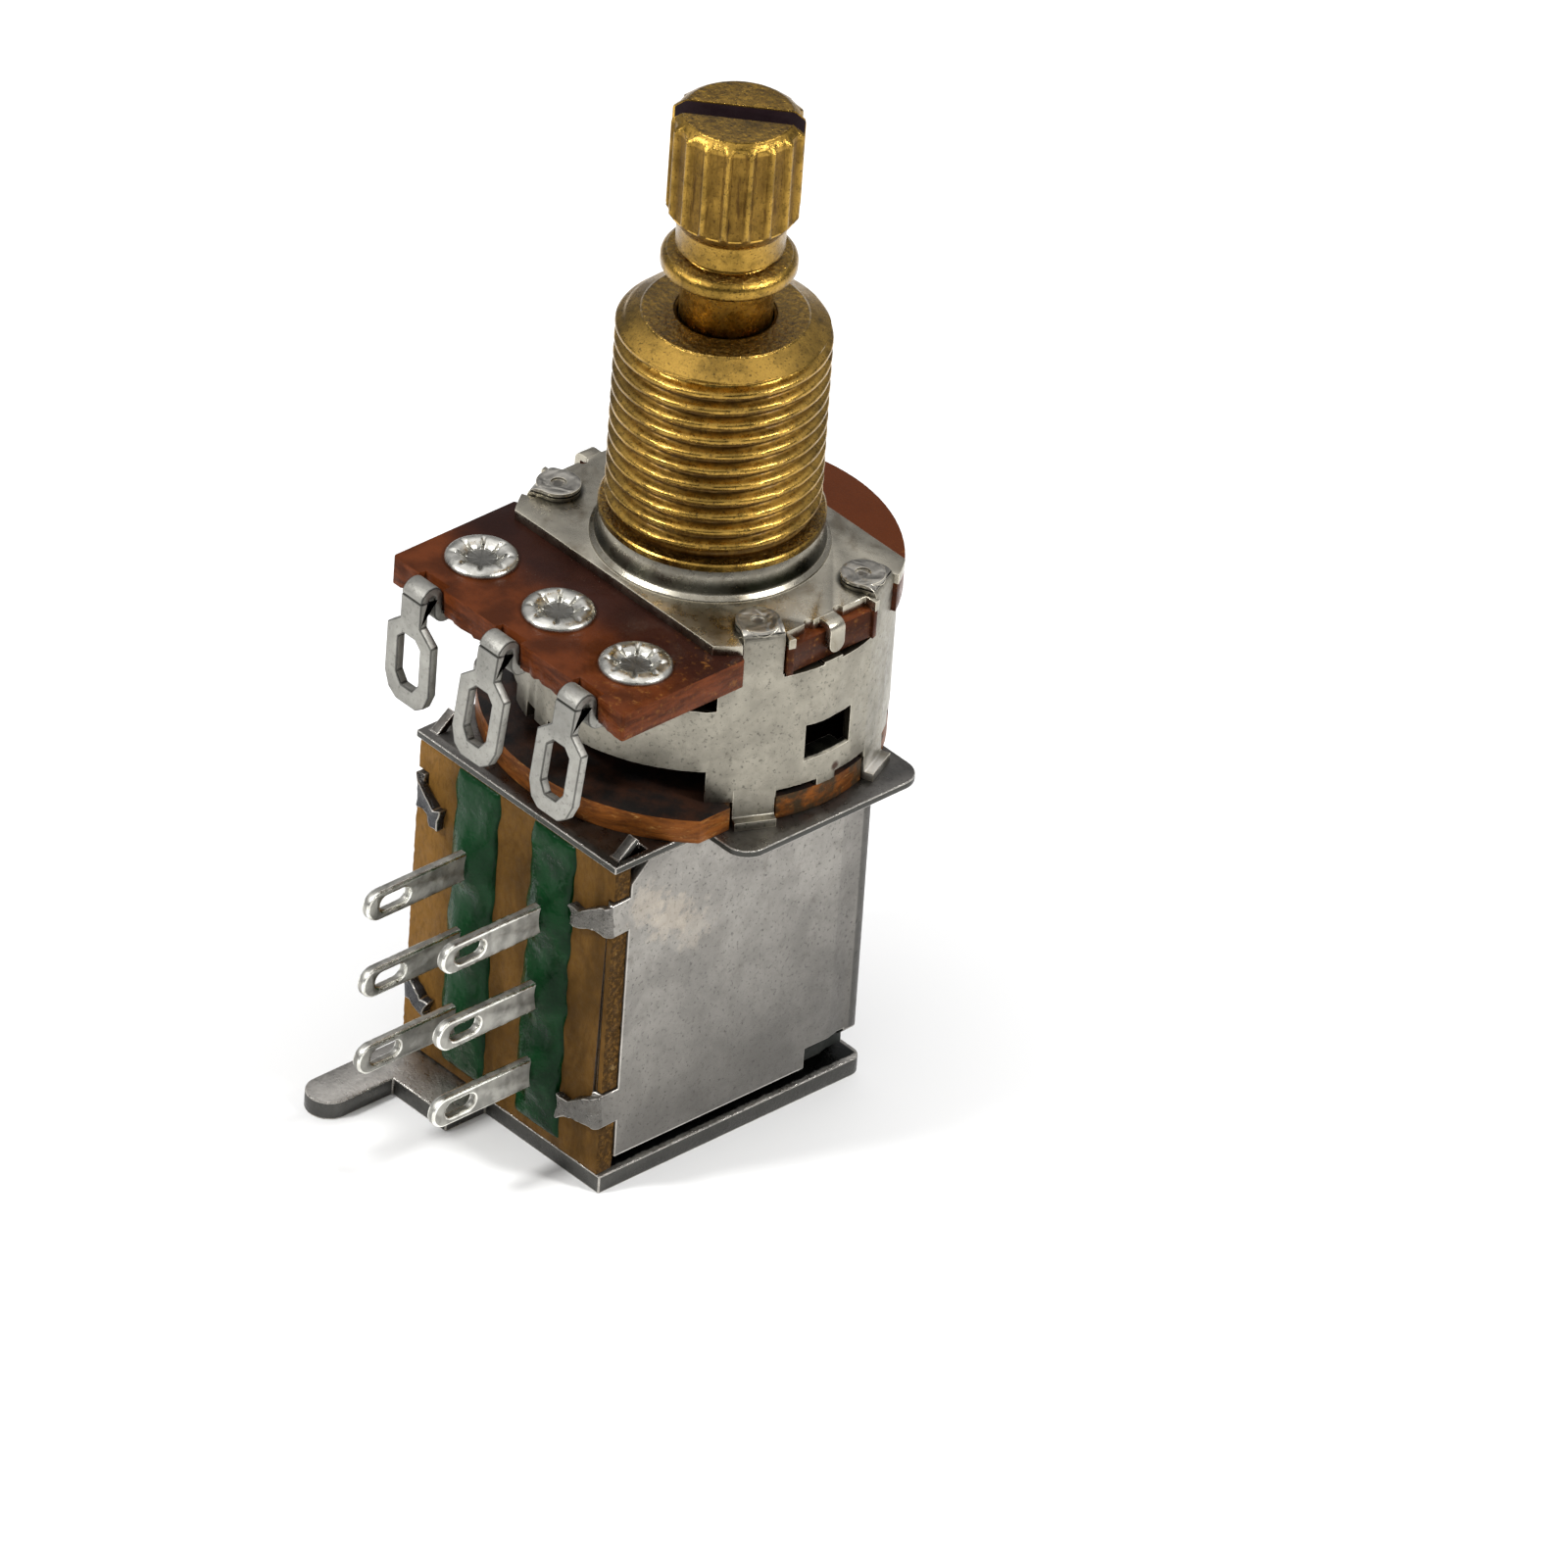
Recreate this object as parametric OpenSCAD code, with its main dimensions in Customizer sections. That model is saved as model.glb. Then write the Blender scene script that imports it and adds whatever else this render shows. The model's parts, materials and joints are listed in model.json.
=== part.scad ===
// Push-pull rotary potentiometer with a two-pole slide switch under it.
// The origin is on the shaft axis, in the face of the bushing's shoulder that a panel rests on.
// +Z runs up the shaft, and -Y is the side of all the solder lugs.

/* [Shaft] */
// Diameter over the splines
head_d = 6; // [5.8:0.05:6.2]
// Length of the splined part
head_l = 4.25; // [3.5:0.05:5]
// Number of splines
spline_n = 18; // [12:1:24]
// Depth of a spline groove
spline_depth = 0.24; // [0.12:0.02:0.3]
// Width of the screwdriver slot
slot_w = 1; // [0.7:0.05:1.2]
// Depth of the slot that splits the head
slot_h = 4.9; // [1:0.1:5.2]
// Turn of the slot in plan, at rest
slot_turn = 42; // [0:1:90]
// Diameter of the smooth neck under the head
neck_d = 4.8; // [4.6:0.05:5.2]
// Length of the smooth neck
neck_l = 1.2; // [0.8:0.05:1.6]
// Length of the taper from neck to splines
taper_l = 0.85; // [0.4:0.05:1.2]
// Length of the waist between neck and collar
waist_l = 0.35; // [0.2:0.05:0.6]
// Diameter of the collar
collar_d = 6; // [5.4:0.1:6.4]
// Thickness of the collar
collar_t = 0.95; // [0.7:0.05:1.1]
// Gap between the collar and the bushing at rest
collar_lift = 2.25; // [1.5:0.05:4]
// Diameter of the stem
stem_d = 4.1; // [4:0.02:4.5]
// Width over the two flats of the stem
flats_w = 3.2; // [2.8:0.1:3.6]
// Diameter of the round end of the shaft
tail_d = 3.1; // [2.8:0.1:3.2]
// Diameter of the groove that lifts the slider
groove_d = 2; // [1.6:0.1:2.2]

/* [Bushing] */
// Outer diameter of the thread
thread_d = 9.525; // [9.4:0.025:9.6]
// Height of the bushing above the panel face
bushing_l = 10; // [8:0.5:12]
// Height of the bevel at the top of the thread
bevel_h = 0.6; // [0.4:0.1:1]
// Width of the bevel at the top of the thread
bevel_w = 1.13; // [0.8:0.01:1.4]
// Diameter of the shoulder
shoulder_d = 10; // [9.9:0.05:10.2]
// Thickness of the shoulder
shoulder_t = 0.4; // [0.3:0.05:0.6]

/* [Face plate] */
// Diameter of the plate's round ends
plate_d = 17.2; // [17.1:0.05:17.6]
// Width of the plate across its straight sides
plate_w = 11.2; // [10.8:0.1:11.6]
// Width of the plate between its cut-back sides
plate_waist = 15.3; // [15:0.1:15.6]
// Thickness of the sheet
plate_t = 0.5; // [0.4:0.05:0.6]
// Height of the raised boss over the flat
boss_h = 1.35; // [1.1:0.05:1.6]
// Diameter of the foot of the boss
boss_d = 10.6; // [10.4:0.1:11]

/* [Wafer and lugs] */
// Thickness of the wafer
wafer_t = 1.45; // [1.2:0.05:1.6]
// Diameter of the wafer's round back
wafer_d = 17.1; // [16.9:0.05:17.4]
// Width of the tongue that carries the lugs
tongue_w = 15.2; // [14.4:0.1:15.4]
// Distance from the axis to the front edge of the tongue
tongue_y = 11.65; // [11.2:0.05:12.2]
// Spacing of the three lugs
lug_pitch = 5.08; // [4.8:0.02:5.2]
// Distance from the axis to the row of eyelets
eyelet_y = 8.75; // [8.6:0.05:9]
// Diameter of the crimped flange of an eyelet
eyelet_d = 3.3; // [3:0.1:3.5]
// Thickness of the lug sheet
lug_t = 0.45; // [0.35:0.05:0.5]
// Width of the lug strip
lug_w = 1.3; // [1.1:0.05:1.6]
// Width of the lug's eye plate
lug_eye_w = 2.9; // [2.6:0.1:3.3]
// Depth of the lug's lower end below the panel face
lug_drop = 8.3; // [7.6:0.1:8.6]

/* [Can] */
// Outer diameter of the can
can_d = 16.66; // [16.6:0.02:16.8]
// Thickness of the can's sheet
can_t = 0.4; // [0.3:0.05:0.45]
// Height of the can's wall
can_h = 6.5; // [6.2:0.05:7.4]
// Width of an ear or tab
ear_w = 1.9; // [1.6:0.1:2]
// Angle of the ears from the side of the can
ear_angle = 24.8; // [23:0.2:26]
// Width of the square side window
window_w = 2.6; // [2:0.05:2.8]
// Height of the square side window
window_h = 1.85; // [1.2:0.05:2]
// Angle over which the front of the can is cut open
mouth_angle = 100; // [90:2:104]
// Thickness of the disc under the can
disc_t = 1.2; // [1:0.05:1.4]
// Diameter of the front lobe of the disc
lobe_d = 19.5; // [19:0.1:20]
// Width of the front lobe of the disc
lobe_w = 14.7; // [14.4:0.1:15]

/* [Switch] */
// Width of the switch
box_w = 13.2; // [12.8:0.1:13.6]
// Distance from the axis to the switch's front plane
box_front = 10.4; // [10.2:0.1:10.8]
// Distance from the axis to the outside of the back wall
box_back = 5; // [4.7:0.05:5.3]
// Height of the switch between its two plates
box_h = 16.25; // [16:0.05:17]
// Thickness of the housing's sheet
box_t = 0.45; // [0.35:0.05:0.5]
// Thickness of the top plate
top_t = 0.35; // [0.3:0.05:0.6]
// Width over the top plate's wings
wing_w = 18.6; // [18:0.1:19.2]
// Thickness of the bottom plate
base_t = 0.9; // [0.8:0.05:1.2]
// Width of the bottom plate's solder tongue
tongue_lug_w = 2.1; // [1.8:0.1:2.3]
// Distance from the axis to the end of the solder tongue
tongue_lug_y = 16.5; // [15.5:0.1:17]
// Thickness of the terminal board
board_t = 0.9; // [0.8:0.05:1]
// Spacing of the terminal rows
row_pitch = 4.1; // [4:0.05:4.2]
// Spacing of the two terminal columns
column_pitch = 5; // [4.8:0.1:5.2]
// Width of a blade
blade_w = 1.5; // [1.3:0.1:1.7]
// Thickness of a blade
blade_t = 0.45; // [0.4:0.05:0.5]
// Length of a blade in front of the board
blade_l = 6.4; // [5.5:0.1:6.8]
// Width of a lacquer stripe
stripe_w = 3.2; // [2.8:0.1:3.3]
// Travel of the shaft when it is pulled
pull = 4; // [3.5:0.1:4]

/* [Fits] */
// Radial running clearance of the shaft and the rotor
run_gap = 0.08; // [0.04:0.01:0.09]
// Clearance of the slider in the housing and of the shaft's groove
slide_gap = 0.1; // [0.06:0.01:0.12]
// Gap between a moving contact and what it wipes
touch_gap = 0.03; // [0.02:0.01:0.05]

/* [Hidden] */
$fa = 6;
$fs = 0.2;
eps = 0.02;
sides = ["left", "middle", "right"];
columns = ["left", "right"];

// Levels from the panel face down
z_boss = -shoulder_t;
z_plate = z_boss - boss_h;
z_wafer = z_plate - plate_t;
z_can = z_wafer - wafer_t;
z_disc = z_can - can_h;
z_top = z_disc - disc_t;
z_box = z_top - top_t;
z_base = z_box - box_h;
z_end = z_base - base_t;

// Levels from the bushing up
z_collar = bushing_l + collar_lift;
z_waist = z_collar + collar_t;
z_neck = z_waist + waist_l;
z_taper = z_neck + neck_l;
z_head = z_taper + taper_l;
z_rim = z_head + head_l;
crown_h = 0.45;
crown_w = 0.62;

bore_d = stem_d + 2 * run_gap;
tenon_d = 6.4;
stake_d = 7.4;
stake_t = 0.4;
bushing_tail = 0.8;
z_stake = z_boss - plate_t;
z_bushing_end = z_stake - stake_t - bushing_tail;
hub_hole_d = 7.2;
side_l = 4.6;
wafer_waist = 16.1;

wall_r = can_d / 2;
wall_in = wall_r - can_t;
ear_slot = wall_in - 0.05;
ear_angles = [ear_angle, -ear_angle, 180 - ear_angle, 180 + ear_angle];
ear_head_r = 7.25;
ear_head_d = 2;
z_band = z_can - 4.9;
z_front = z_can - 0.9;

rotor_d = 13.8;
z_rotor = z_can - 0.85;
rotor_t = 2;
rotor_hub_d = 6.8;
stop_half = 8;
rotor_lug_half = 20;

shaft_hole_d = 5.2;
groove_l = 1;
tail_l = 1;
z_slider = z_box - 0.5 - pull;
z_groove = z_slider + 0.05;
z_shaft_end = z_groove - groove_l - tail_l;
z_flats_end = z_groove + 2;
z_flats = z_bushing_end - 0.3;

board_y = -box_front;
board_in_y = board_y + board_t;
board_half = box_w / 2 - 0.1;
wall_front = board_in_y;
board_gap = 0.1;
board_bottom = z_base + board_gap;
board_top = z_box - board_gap;
row_mid = (z_box + z_base) / 2 - 0.3;
rows = [row_mid + row_pitch, row_mid, row_mid - row_pitch];
box_corner = 0.55;
joggle = 0.15;
joggle_y = 3;
clamp_z = [z_box - 2.5, z_base + 3.55];
clamp_half = 0.85;
clamp_end = column_pitch / 2 + stripe_w / 2 - 0.1;
clamp_insets = [0.3, 0];
clamp_ends = [clamp_end + 0.45, clamp_end];
pad_t = 0.25;
pad_w = 1.8;
pad_h = 2.1;
stripe_t = 0.3;
mound_h = 1.1;
mound_r = 1.5;
contact_w = 1.6;
contact_t = 0.2;

brass = [0.62, 0.50, 0.22];
plated = [0.66, 0.64, 0.60];
tinned = [0.78, 0.77, 0.74];
phenolic = [0.36, 0.15, 0.08];
board_tan = [0.52, 0.36, 0.16];
lacquer_green = [0.06, 0.26, 0.13];
carbon = [0.06, 0.06, 0.06];
moulding = [0.10, 0.10, 0.11];
slider_white = [0.85, 0.84, 0.80];

// Points of an arc about a centre, from one angle to another
function arc(centre, r, from, to, steps = 8) =
  [for (i = [0:steps]) centre + r * [cos(from + (to - from) * i / steps), sin(from + (to - from) * i / steps)]];

// Unit normal to the left of the path at point i
function path_normal(path, i) =
  let (a = path[max(i - 1, 0)], b = path[min(i + 1, len(path) - 1)], d = (b - a) / norm(b - a)) [-d[1], d[0]];

// Outline of a bent strip of even thickness along a path
function strip(path, t) = concat(
  [for (i = [0:len(path) - 1]) path[i] + path_normal(path, i) * t / 2],
  [for (i = [len(path) - 1:-1:0]) path[i] - path_normal(path, i) * t / 2]
);

// Ring sector, standing from z up
module sector(r_in, r_out, from, to, z, h) {
  translate([0, 0, z]) rotate([0, 0, from]) rotate_extrude(angle = to - from)
    translate([r_in, 0]) square([r_out - r_in, h]);
}

// Extrudes an outline drawn in Y and Z along X, centred on X
module extrude_x(w) {
  rotate([90, 0, 90]) linear_extrude(w, center = true) children();
}

// Extrudes an outline drawn in X and Z from y_front towards the back
module extrude_y(y_front, t) {
  translate([0, y_front + t, 0]) rotate([90, 0, 0]) linear_extrude(t) children();
}

// Slot with round ends, drawn along its second axis
module round_slot(w, l) {
  square([w, l - w], center = true);
  for (s = [-1, 1]) translate([0, s * (l - w) / 2]) circle(w / 2);
}

// Round brass shaft with its splined head, collar, flats and lifting groove
module shaft_turning() {
  head_r = head_d / 2;
  collar_r = collar_d / 2;
  edge = 0.15;
  under = 0.25;
  rotate_extrude() polygon([
    [0, z_shaft_end],
    [tail_d / 2, z_shaft_end], [tail_d / 2, z_groove - groove_l],
    [groove_d / 2, z_groove - groove_l], [groove_d / 2, z_groove],
    [tail_d / 2, z_groove], [tail_d / 2, z_flats_end],
    [stem_d / 2, z_flats_end], [stem_d / 2, z_collar],
    [collar_r - under, z_collar], [collar_r, z_collar + under],
    [collar_r, z_waist - 2 * edge], [collar_r - 2 * edge, z_waist],
    [stem_d / 2, z_waist], [stem_d / 2, z_neck],
    [neck_d / 2, z_neck], [neck_d / 2, z_taper],
    [head_r, z_head], [head_r, z_rim],
    [head_r - crown_w * 0.4, z_rim + crown_h * 0.55], [head_r - crown_w, z_rim + crown_h],
    [0, z_rim + crown_h]
  ]);
}

module shaft() {
  head_r = head_d / 2;
  groove_half = 0.38 * PI * head_d / spline_n;
  color(brass) difference() {
    shaft_turning();
    for (i = [0:spline_n - 1]) rotate([0, 0, 360 * i / spline_n])
      translate([head_r, 0, z_head - taper_l / 3]) linear_extrude(head_l + 2 * crown_h + taper_l)
        polygon([[-spline_depth, 0], [eps, groove_half], [0.5, groove_half], [0.5, -groove_half], [eps, -groove_half]]);
    rotate([0, 0, slot_turn]) translate([-head_d, -slot_w / 2, z_rim + crown_h - slot_h])
      cube([2 * head_d, slot_w, slot_h + 1]);
    for (s = [-1, 1]) translate([-stem_d, s > 0 ? flats_w / 2 : -flats_w / 2 - stem_d, z_flats_end - eps])
      cube([2 * stem_d, stem_d, z_flats - z_flats_end + eps]);
  }
}

// Turned bushing: thread blank, shoulder and the tail staked under the plate
module bushing() {
  thread_r = thread_d / 2;
  shoulder_r = shoulder_d / 2;
  edge = 0.1;
  mouth = 0.12;
  color(brass) rotate_extrude() polygon([
    [bore_d / 2, z_bushing_end], [bore_d / 2, bushing_l - mouth], [bore_d / 2 + mouth, bushing_l],
    [thread_r - bevel_w, bushing_l], [thread_r, bushing_l - bevel_h],
    [thread_r, 0], [shoulder_r - edge, 0],
    [shoulder_r, -edge], [shoulder_r, z_boss + edge], [shoulder_r - edge, z_boss],
    [tenon_d / 2, z_boss], [tenon_d / 2, z_stake],
    [stake_d / 2, z_stake], [stake_d / 2, z_stake - stake_t / 2],
    [tenon_d / 2, z_stake - stake_t], [tenon_d / 2 - 0.3, z_stake - stake_t],
    [tenon_d / 2 - 0.3, z_bushing_end]
  ]);
}

// Slots that let the can's ears and centre lugs past the edge of a flat piece
module ear_slots_2d(edge = 2) {
  for (a = ear_angles) rotate([0, 0, a]) translate([ear_slot, -ear_w / 2 - 0.1])
    square([edge, ear_w + 0.2]);
}

// Narrow tab of the plate that folds down over the wafer's side, with a round tip
module plate_tab() {
  tab_w = 0.85;
  tab_t = 0.35;
  fold = 0.25;
  x_mid = wafer_waist / 2 + 0.05 + tab_t / 2;
  z_mid = z_plate - tab_t / 2;
  z_tip = z_wafer - 0.6;
  path = concat(
    [[plate_waist / 2 - 0.5, z_mid]],
    arc([x_mid - fold, z_mid - fold], fold, 90, 0, 6),
    [[x_mid, z_tip]]
  );
  rotate([90, 0, 0]) linear_extrude(tab_w, center = true) polygon(strip(path, tab_t));
  translate([x_mid - tab_t / 2, 0, z_tip]) rotate([0, 90, 0]) cylinder(d = tab_w, h = tab_t);
}

module face_plate() {
  boss_r = boss_d / 2;
  hollow_r = boss_r - 0.8;
  nick = 0.5;
  nick_y = [-1, 0.7];
  color(plated) difference() {
    union() {
      translate([0, 0, z_wafer]) linear_extrude(plate_t) difference() {
        intersection() {
          circle(plate_d / 2);
          square([plate_d, plate_w], center = true);
        }
        ear_slots_2d();
        for (s = [-1, 1]) {
          translate([s * (plate_waist / 2 + 2), 0]) square([4, side_l], center = true);
          for (y = nick_y) translate([s * (plate_waist / 2), s * y]) circle(nick / 2);
        }
      }
      for (a = [0, 180]) rotate([0, 0, a]) plate_tab();
      rotate_extrude() polygon([
        [0, z_wafer], [boss_r, z_wafer], [boss_r, z_plate + 0.08],
        [boss_r - 0.2, z_plate + 0.25], [boss_r - 0.3, z_boss - 0.4], [boss_r - 0.42, z_boss], [0, z_boss]
      ]);
    }
    translate([0, 0, z_wafer - eps]) cylinder(r = hollow_r, h = z_stake - z_wafer + eps);
    translate([0, 0, z_wafer]) cylinder(d = tenon_d, h = z_boss - z_wafer + 1);
  }
}

// Wafer outline: round back, cut-back sides, tongue with clipped corners and a notch for each lug
module wafer_2d() {
  clip = 0.08;
  half = tongue_w / 2;
  difference() {
    union() {
      intersection() {
        circle(wafer_d / 2);
        translate([-wafer_d, -wafer_d / 4]) square(2 * wafer_d);
      }
      polygon([
        [-half, 0], [-half, -tongue_y + clip], [-half + clip, -tongue_y],
        [half - clip, -tongue_y], [half, -tongue_y + clip], [half, 0]
      ]);
    }
    ear_slots_2d();
    for (s = [-1, 1]) translate([s * (wafer_waist / 2 + 1), 0]) square([2, side_l], center = true);
    circle(d = hub_hole_d);
    for (i = [-1:1]) {
      translate([i * lug_pitch, -eyelet_y]) circle(eyelet_d * 0.36);
      translate([i * lug_pitch, -tongue_y - 1 + lug_notch / 2])
        square([lug_w + 0.3, lug_notch + 2], center = true);
    }
  }
}

module resistor_wafer() {
  color(phenolic) translate([0, 0, z_can]) linear_extrude(wafer_t) wafer_2d();
}

film_t = 0.08;
track_in = 5.5;
track_out = 6.8;
collector_in = 3.95;
collector_out = 4.9;

// Horseshoe of 300 degrees, open towards the lugs
module carbon_track() {
  color(carbon) sector(track_in, track_out, -60, 240, z_can - film_t, film_t);
}

// Ring with the lead that runs to the middle lug
module collector_ring() {
  lead_w = 1.2;
  color(tinned) difference() {
    union() {
      translate([0, 0, z_can - film_t]) cylinder(r = collector_out, h = film_t);
      translate([-lead_w / 2, -track_out, z_can - film_t]) cube([lead_w, track_out, film_t]);
    }
    translate([0, 0, z_can - 1]) cylinder(r = collector_in, h = 2);
  }
}

lug_bend = 0.45;
lug_gap = 0.05;
lug_notch = lug_bend - lug_gap;
lug_leans = [0, 7, 7];
arch_r = 0.42;
z_lug = z_can - lug_t / 2;
lug_root_y = -tongue_y - lug_gap;
lug_face_y = lug_root_y - 2 * arch_r;
z_arch = z_wafer - 0.5;
z_shoulder = z_arch - 1.25;
pad_r = 1.7;

// Flat eye plate of a lug, hexagonal, with its strip up to the arch
module lug_plate() {
  half = lug_eye_w / 2;
  eye_half = half / 2;
  bottom = -lug_drop;
  rim = half - eye_half;
  extrude_y(lug_face_y - lug_t / 2, lug_t) difference() {
    polygon([
      [-lug_w / 2, z_arch], [lug_w / 2, z_arch], [lug_w / 2, z_shoulder],
      [half, z_shoulder - 0.65], [half, bottom + 1.1], [half - 0.3, bottom + 0.35],
      [half - 0.8, bottom], [-half + 0.8, bottom], [-half + 0.3, bottom + 0.35],
      [-half, bottom + 1.1], [-half, z_shoulder - 0.65], [-lug_w / 2, z_shoulder]
    ]);
    polygon([
      [-eye_half / 2, z_shoulder - rim], [eye_half / 2, z_shoulder - rim],
      [eye_half, z_shoulder - 1.5 * rim], [eye_half, bottom + 1.9 * rim],
      [eye_half / 2, bottom + 1.2 * rim], [-eye_half / 2, bottom + 1.2 * rim],
      [-eye_half, bottom + 1.9 * rim], [-eye_half, z_shoulder - 1.5 * rim]
    ]);
  }
}

// Solder lug: pad under the wafer, arch over its front edge and a leaning eye plate
module pot_terminal(i) {
  lean = lug_leans[i + 1];
  arch_y = lug_root_y - arch_r;
  path = concat(
    [[-eyelet_y, z_lug]],
    arc([lug_root_y + lug_bend, z_lug + lug_bend], lug_bend, -90, -180),
    arc([arch_y, z_arch], arch_r, 0, 180 - lean, 10)
  );
  color(plated) translate([i * lug_pitch, 0, 0]) difference() {
    union() {
      extrude_x(lug_w) polygon(strip(path, lug_t));
      translate([0, -eyelet_y, z_can - lug_t]) cylinder(r = pad_r, h = lug_t);
      translate([0, arch_y, z_arch]) rotate([-lean, 0, 0]) translate([0, -arch_y, -z_arch]) lug_plate();
    }
    translate([0, -eyelet_y, z_can - 1]) cylinder(r = eyelet_d * 0.36, h = 2);
  }
}

// Eyelet: domed flange split into petals, barrel and lower flange
module eyelet(i) {
  petals = 8;
  dome = 0.32;
  flange_r = eyelet_d / 2;
  barrel_r = eyelet_d * 0.36;
  well_r = eyelet_d * 0.2;
  z_low = z_can - lug_t;
  color(tinned) translate([i * lug_pitch, -eyelet_y, 0]) difference() {
    union() {
      rotate_extrude() polygon([
        [0, z_wafer], [flange_r, z_wafer], [flange_r, z_wafer + dome * 0.35],
        [flange_r - 0.25, z_wafer + dome * 0.85], [flange_r - 0.5, z_wafer + dome],
        [well_r + 0.1, z_wafer + dome * 0.85], [well_r, z_wafer + 0.06], [0, z_wafer + 0.06]
      ]);
      translate([0, 0, z_low]) cylinder(r = barrel_r, h = z_wafer - z_low);
      translate([0, 0, z_low - 0.25]) cylinder(r = flange_r - 0.15, h = 0.25);
    }
    for (k = [0:petals - 1]) rotate([0, 0, 360 * k / petals])
      translate([well_r + 0.08, -0.07, z_wafer + 0.12]) cube([0.42, 0.14, 1]);
  }
}

// Ear that rises past the wafer and folds over the face plate
module can_ear() {
  r_mid = wall_r - can_t / 2;
  fold = 0.35;
  z_fold = z_plate + can_t / 2;
  path = concat(
    [[r_mid, z_can - 0.6]],
    arc([r_mid - fold, z_fold - fold], fold, 0, 90, 6),
    [[ear_head_r, z_fold]]
  );
  difference() {
    union() {
      rotate([90, 0, 0]) linear_extrude(ear_w, center = true) polygon(strip(path, can_t));
      translate([ear_head_r, 0, z_plate]) cylinder(d = ear_head_d, h = can_t);
    }
    translate([ear_head_r, 0, z_plate + can_t - 0.12]) cylinder(d = 0.7, h = 1);
  }
}

// Tab that runs down past the disc and turns out to stand on the top plate
module can_foot() {
  r_mid = wall_r - can_t / 2;
  fold = 0.3;
  z_fold = z_top + can_t / 2;
  foot_l = 0.35;
  path = concat(
    [[r_mid, z_disc + 0.6]],
    arc([r_mid + fold, z_fold + fold], fold, 180, 270, 6),
    [[r_mid + fold + foot_l, z_fold]]
  );
  rotate([90, 0, 0]) linear_extrude(ear_w, center = true) polygon(strip(path, can_t));
}

// Thin shell of the can with its windows, notches, ears and tabs
module pot_can() {
  cut_in = wall_in - 1;
  cut_out = wall_r + 1;
  notch_from = 3.6;
  notch_to = ear_angle - 7;
  mouth = mouth_angle / 2;
  z_window = z_can - 3.1;
  back_cut = 0.6;
  teeth = [[-116, -107, 0.85], [-102, -95, 0.55]];
  color(plated) union() {
    difference() {
      sector(wall_in, wall_r, 0, 360, z_disc, can_h);
      sector(cut_in, cut_out, -90 - mouth - 2, -90 + mouth + 2, z_front, 2);
      sector(cut_in, cut_out, -90 + mouth - 7, -90 + mouth + 2, z_front - 0.8, 2);
      difference() {
        sector(cut_in, cut_out, -90 - mouth, -90 + mouth, z_disc - 1, z_band - z_disc + 1);
        for (t = teeth) sector(cut_in - 1, cut_out + 1, t[0], t[1], z_band - t[2], 2);
      }
      sector(cut_in, cut_out, 38, 142, z_disc - 1, 1 + back_cut);
      for (s = [0, 180]) rotate([0, 0, s]) {
        translate([wall_in - 1, -window_w / 2, z_window - window_h]) cube([3, window_w, window_h]);
        for (t = [notch_from, -notch_to]) {
          sector(cut_in, cut_out, t, t + notch_to - notch_from, z_can - 0.15, 1);
          sector(cut_in, cut_out, t, t + notch_to - notch_from, z_disc - 0.6, 0.95);
        }
      }
    }
    for (s = [0, 180]) rotate([0, 0, s]) translate([wall_in - 0.6, 0.3 - window_w / 2, z_window - window_h - 0.3])
      cube([0.6 + can_t / 2, window_w - 0.6, 0.3]);
    sector(wall_in - 0.7, wall_in + can_t / 2, -90 - stop_half, -90 + stop_half, z_band + 1.1, 1.5);
    for (a = ear_angles) rotate([0, 0, a]) {
      can_ear();
      can_foot();
    }
  }
}

// Phenolic disc: flush round back and a wider lobe on the lug side
module rear_disc() {
  shoulder_y = 4.65;
  color(phenolic) translate([0, 0, z_top]) linear_extrude(disc_t) difference() {
    union() {
      circle(wall_r - 0.03);
      intersection() {
        circle(lobe_d / 2);
        translate([-lobe_w / 2, -lobe_d / 2]) square([lobe_w, lobe_d / 2 - shoulder_y]);
      }
    }
    ear_slots_2d();
    circle(d = shaft_hole_d);
  }
}

// Moulded rotor: hub in the wafer's hole, flange with stop lug, flats for the shaft
module rotor() {
  hub_top = z_can + 0.5;
  color(moulding) difference() {
    union() {
      translate([0, 0, z_rotor]) cylinder(d = hub_hole_d - 2 * run_gap, h = hub_top - z_rotor);
      translate([0, 0, z_rotor - rotor_t]) cylinder(d = rotor_d, h = rotor_t);
      translate([0, 0, z_disc + run_gap]) cylinder(d = rotor_hub_d, h = z_rotor - z_disc - run_gap);
      sector(rotor_d / 2 - 0.5, wall_in - 0.2, 90 - rotor_lug_half, 90 + rotor_lug_half,
        z_rotor - rotor_t, rotor_t);
    }
    intersection() {
      translate([0, 0, z_disc]) cylinder(d = bore_d, h = hub_top - z_disc + 1);
      translate([-stem_d, -flats_w / 2 - run_gap, z_disc - 1])
        cube([2 * stem_d, flats_w + 2 * run_gap, hub_top - z_disc + 2]);
    }
  }
}

// Sprung plate on the rotor with one finger for the track and one for the ring
module wiper() {
  leaf_t = 0.15;
  finger_h = z_can - film_t - touch_gap - z_rotor;
  color(brass) difference() {
    union() {
      translate([0, 0, z_rotor]) cylinder(r = track_out - 0.3, h = leaf_t);
      sector(track_in + 0.35, track_out - 0.35, 84, 96, z_rotor, finger_h);
      sector(collector_in + 0.25, collector_out - 0.25, 80, 100, z_rotor, finger_h);
    }
    translate([0, 0, z_rotor - 1]) cylinder(d = hub_hole_d - 2 * run_gap, h = 3);
    for (s = [0, 180]) sector(collector_out + 0.1, track_in - 0.1, s - 60, s + 60, z_rotor - 1, 2);
  }
}

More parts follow.
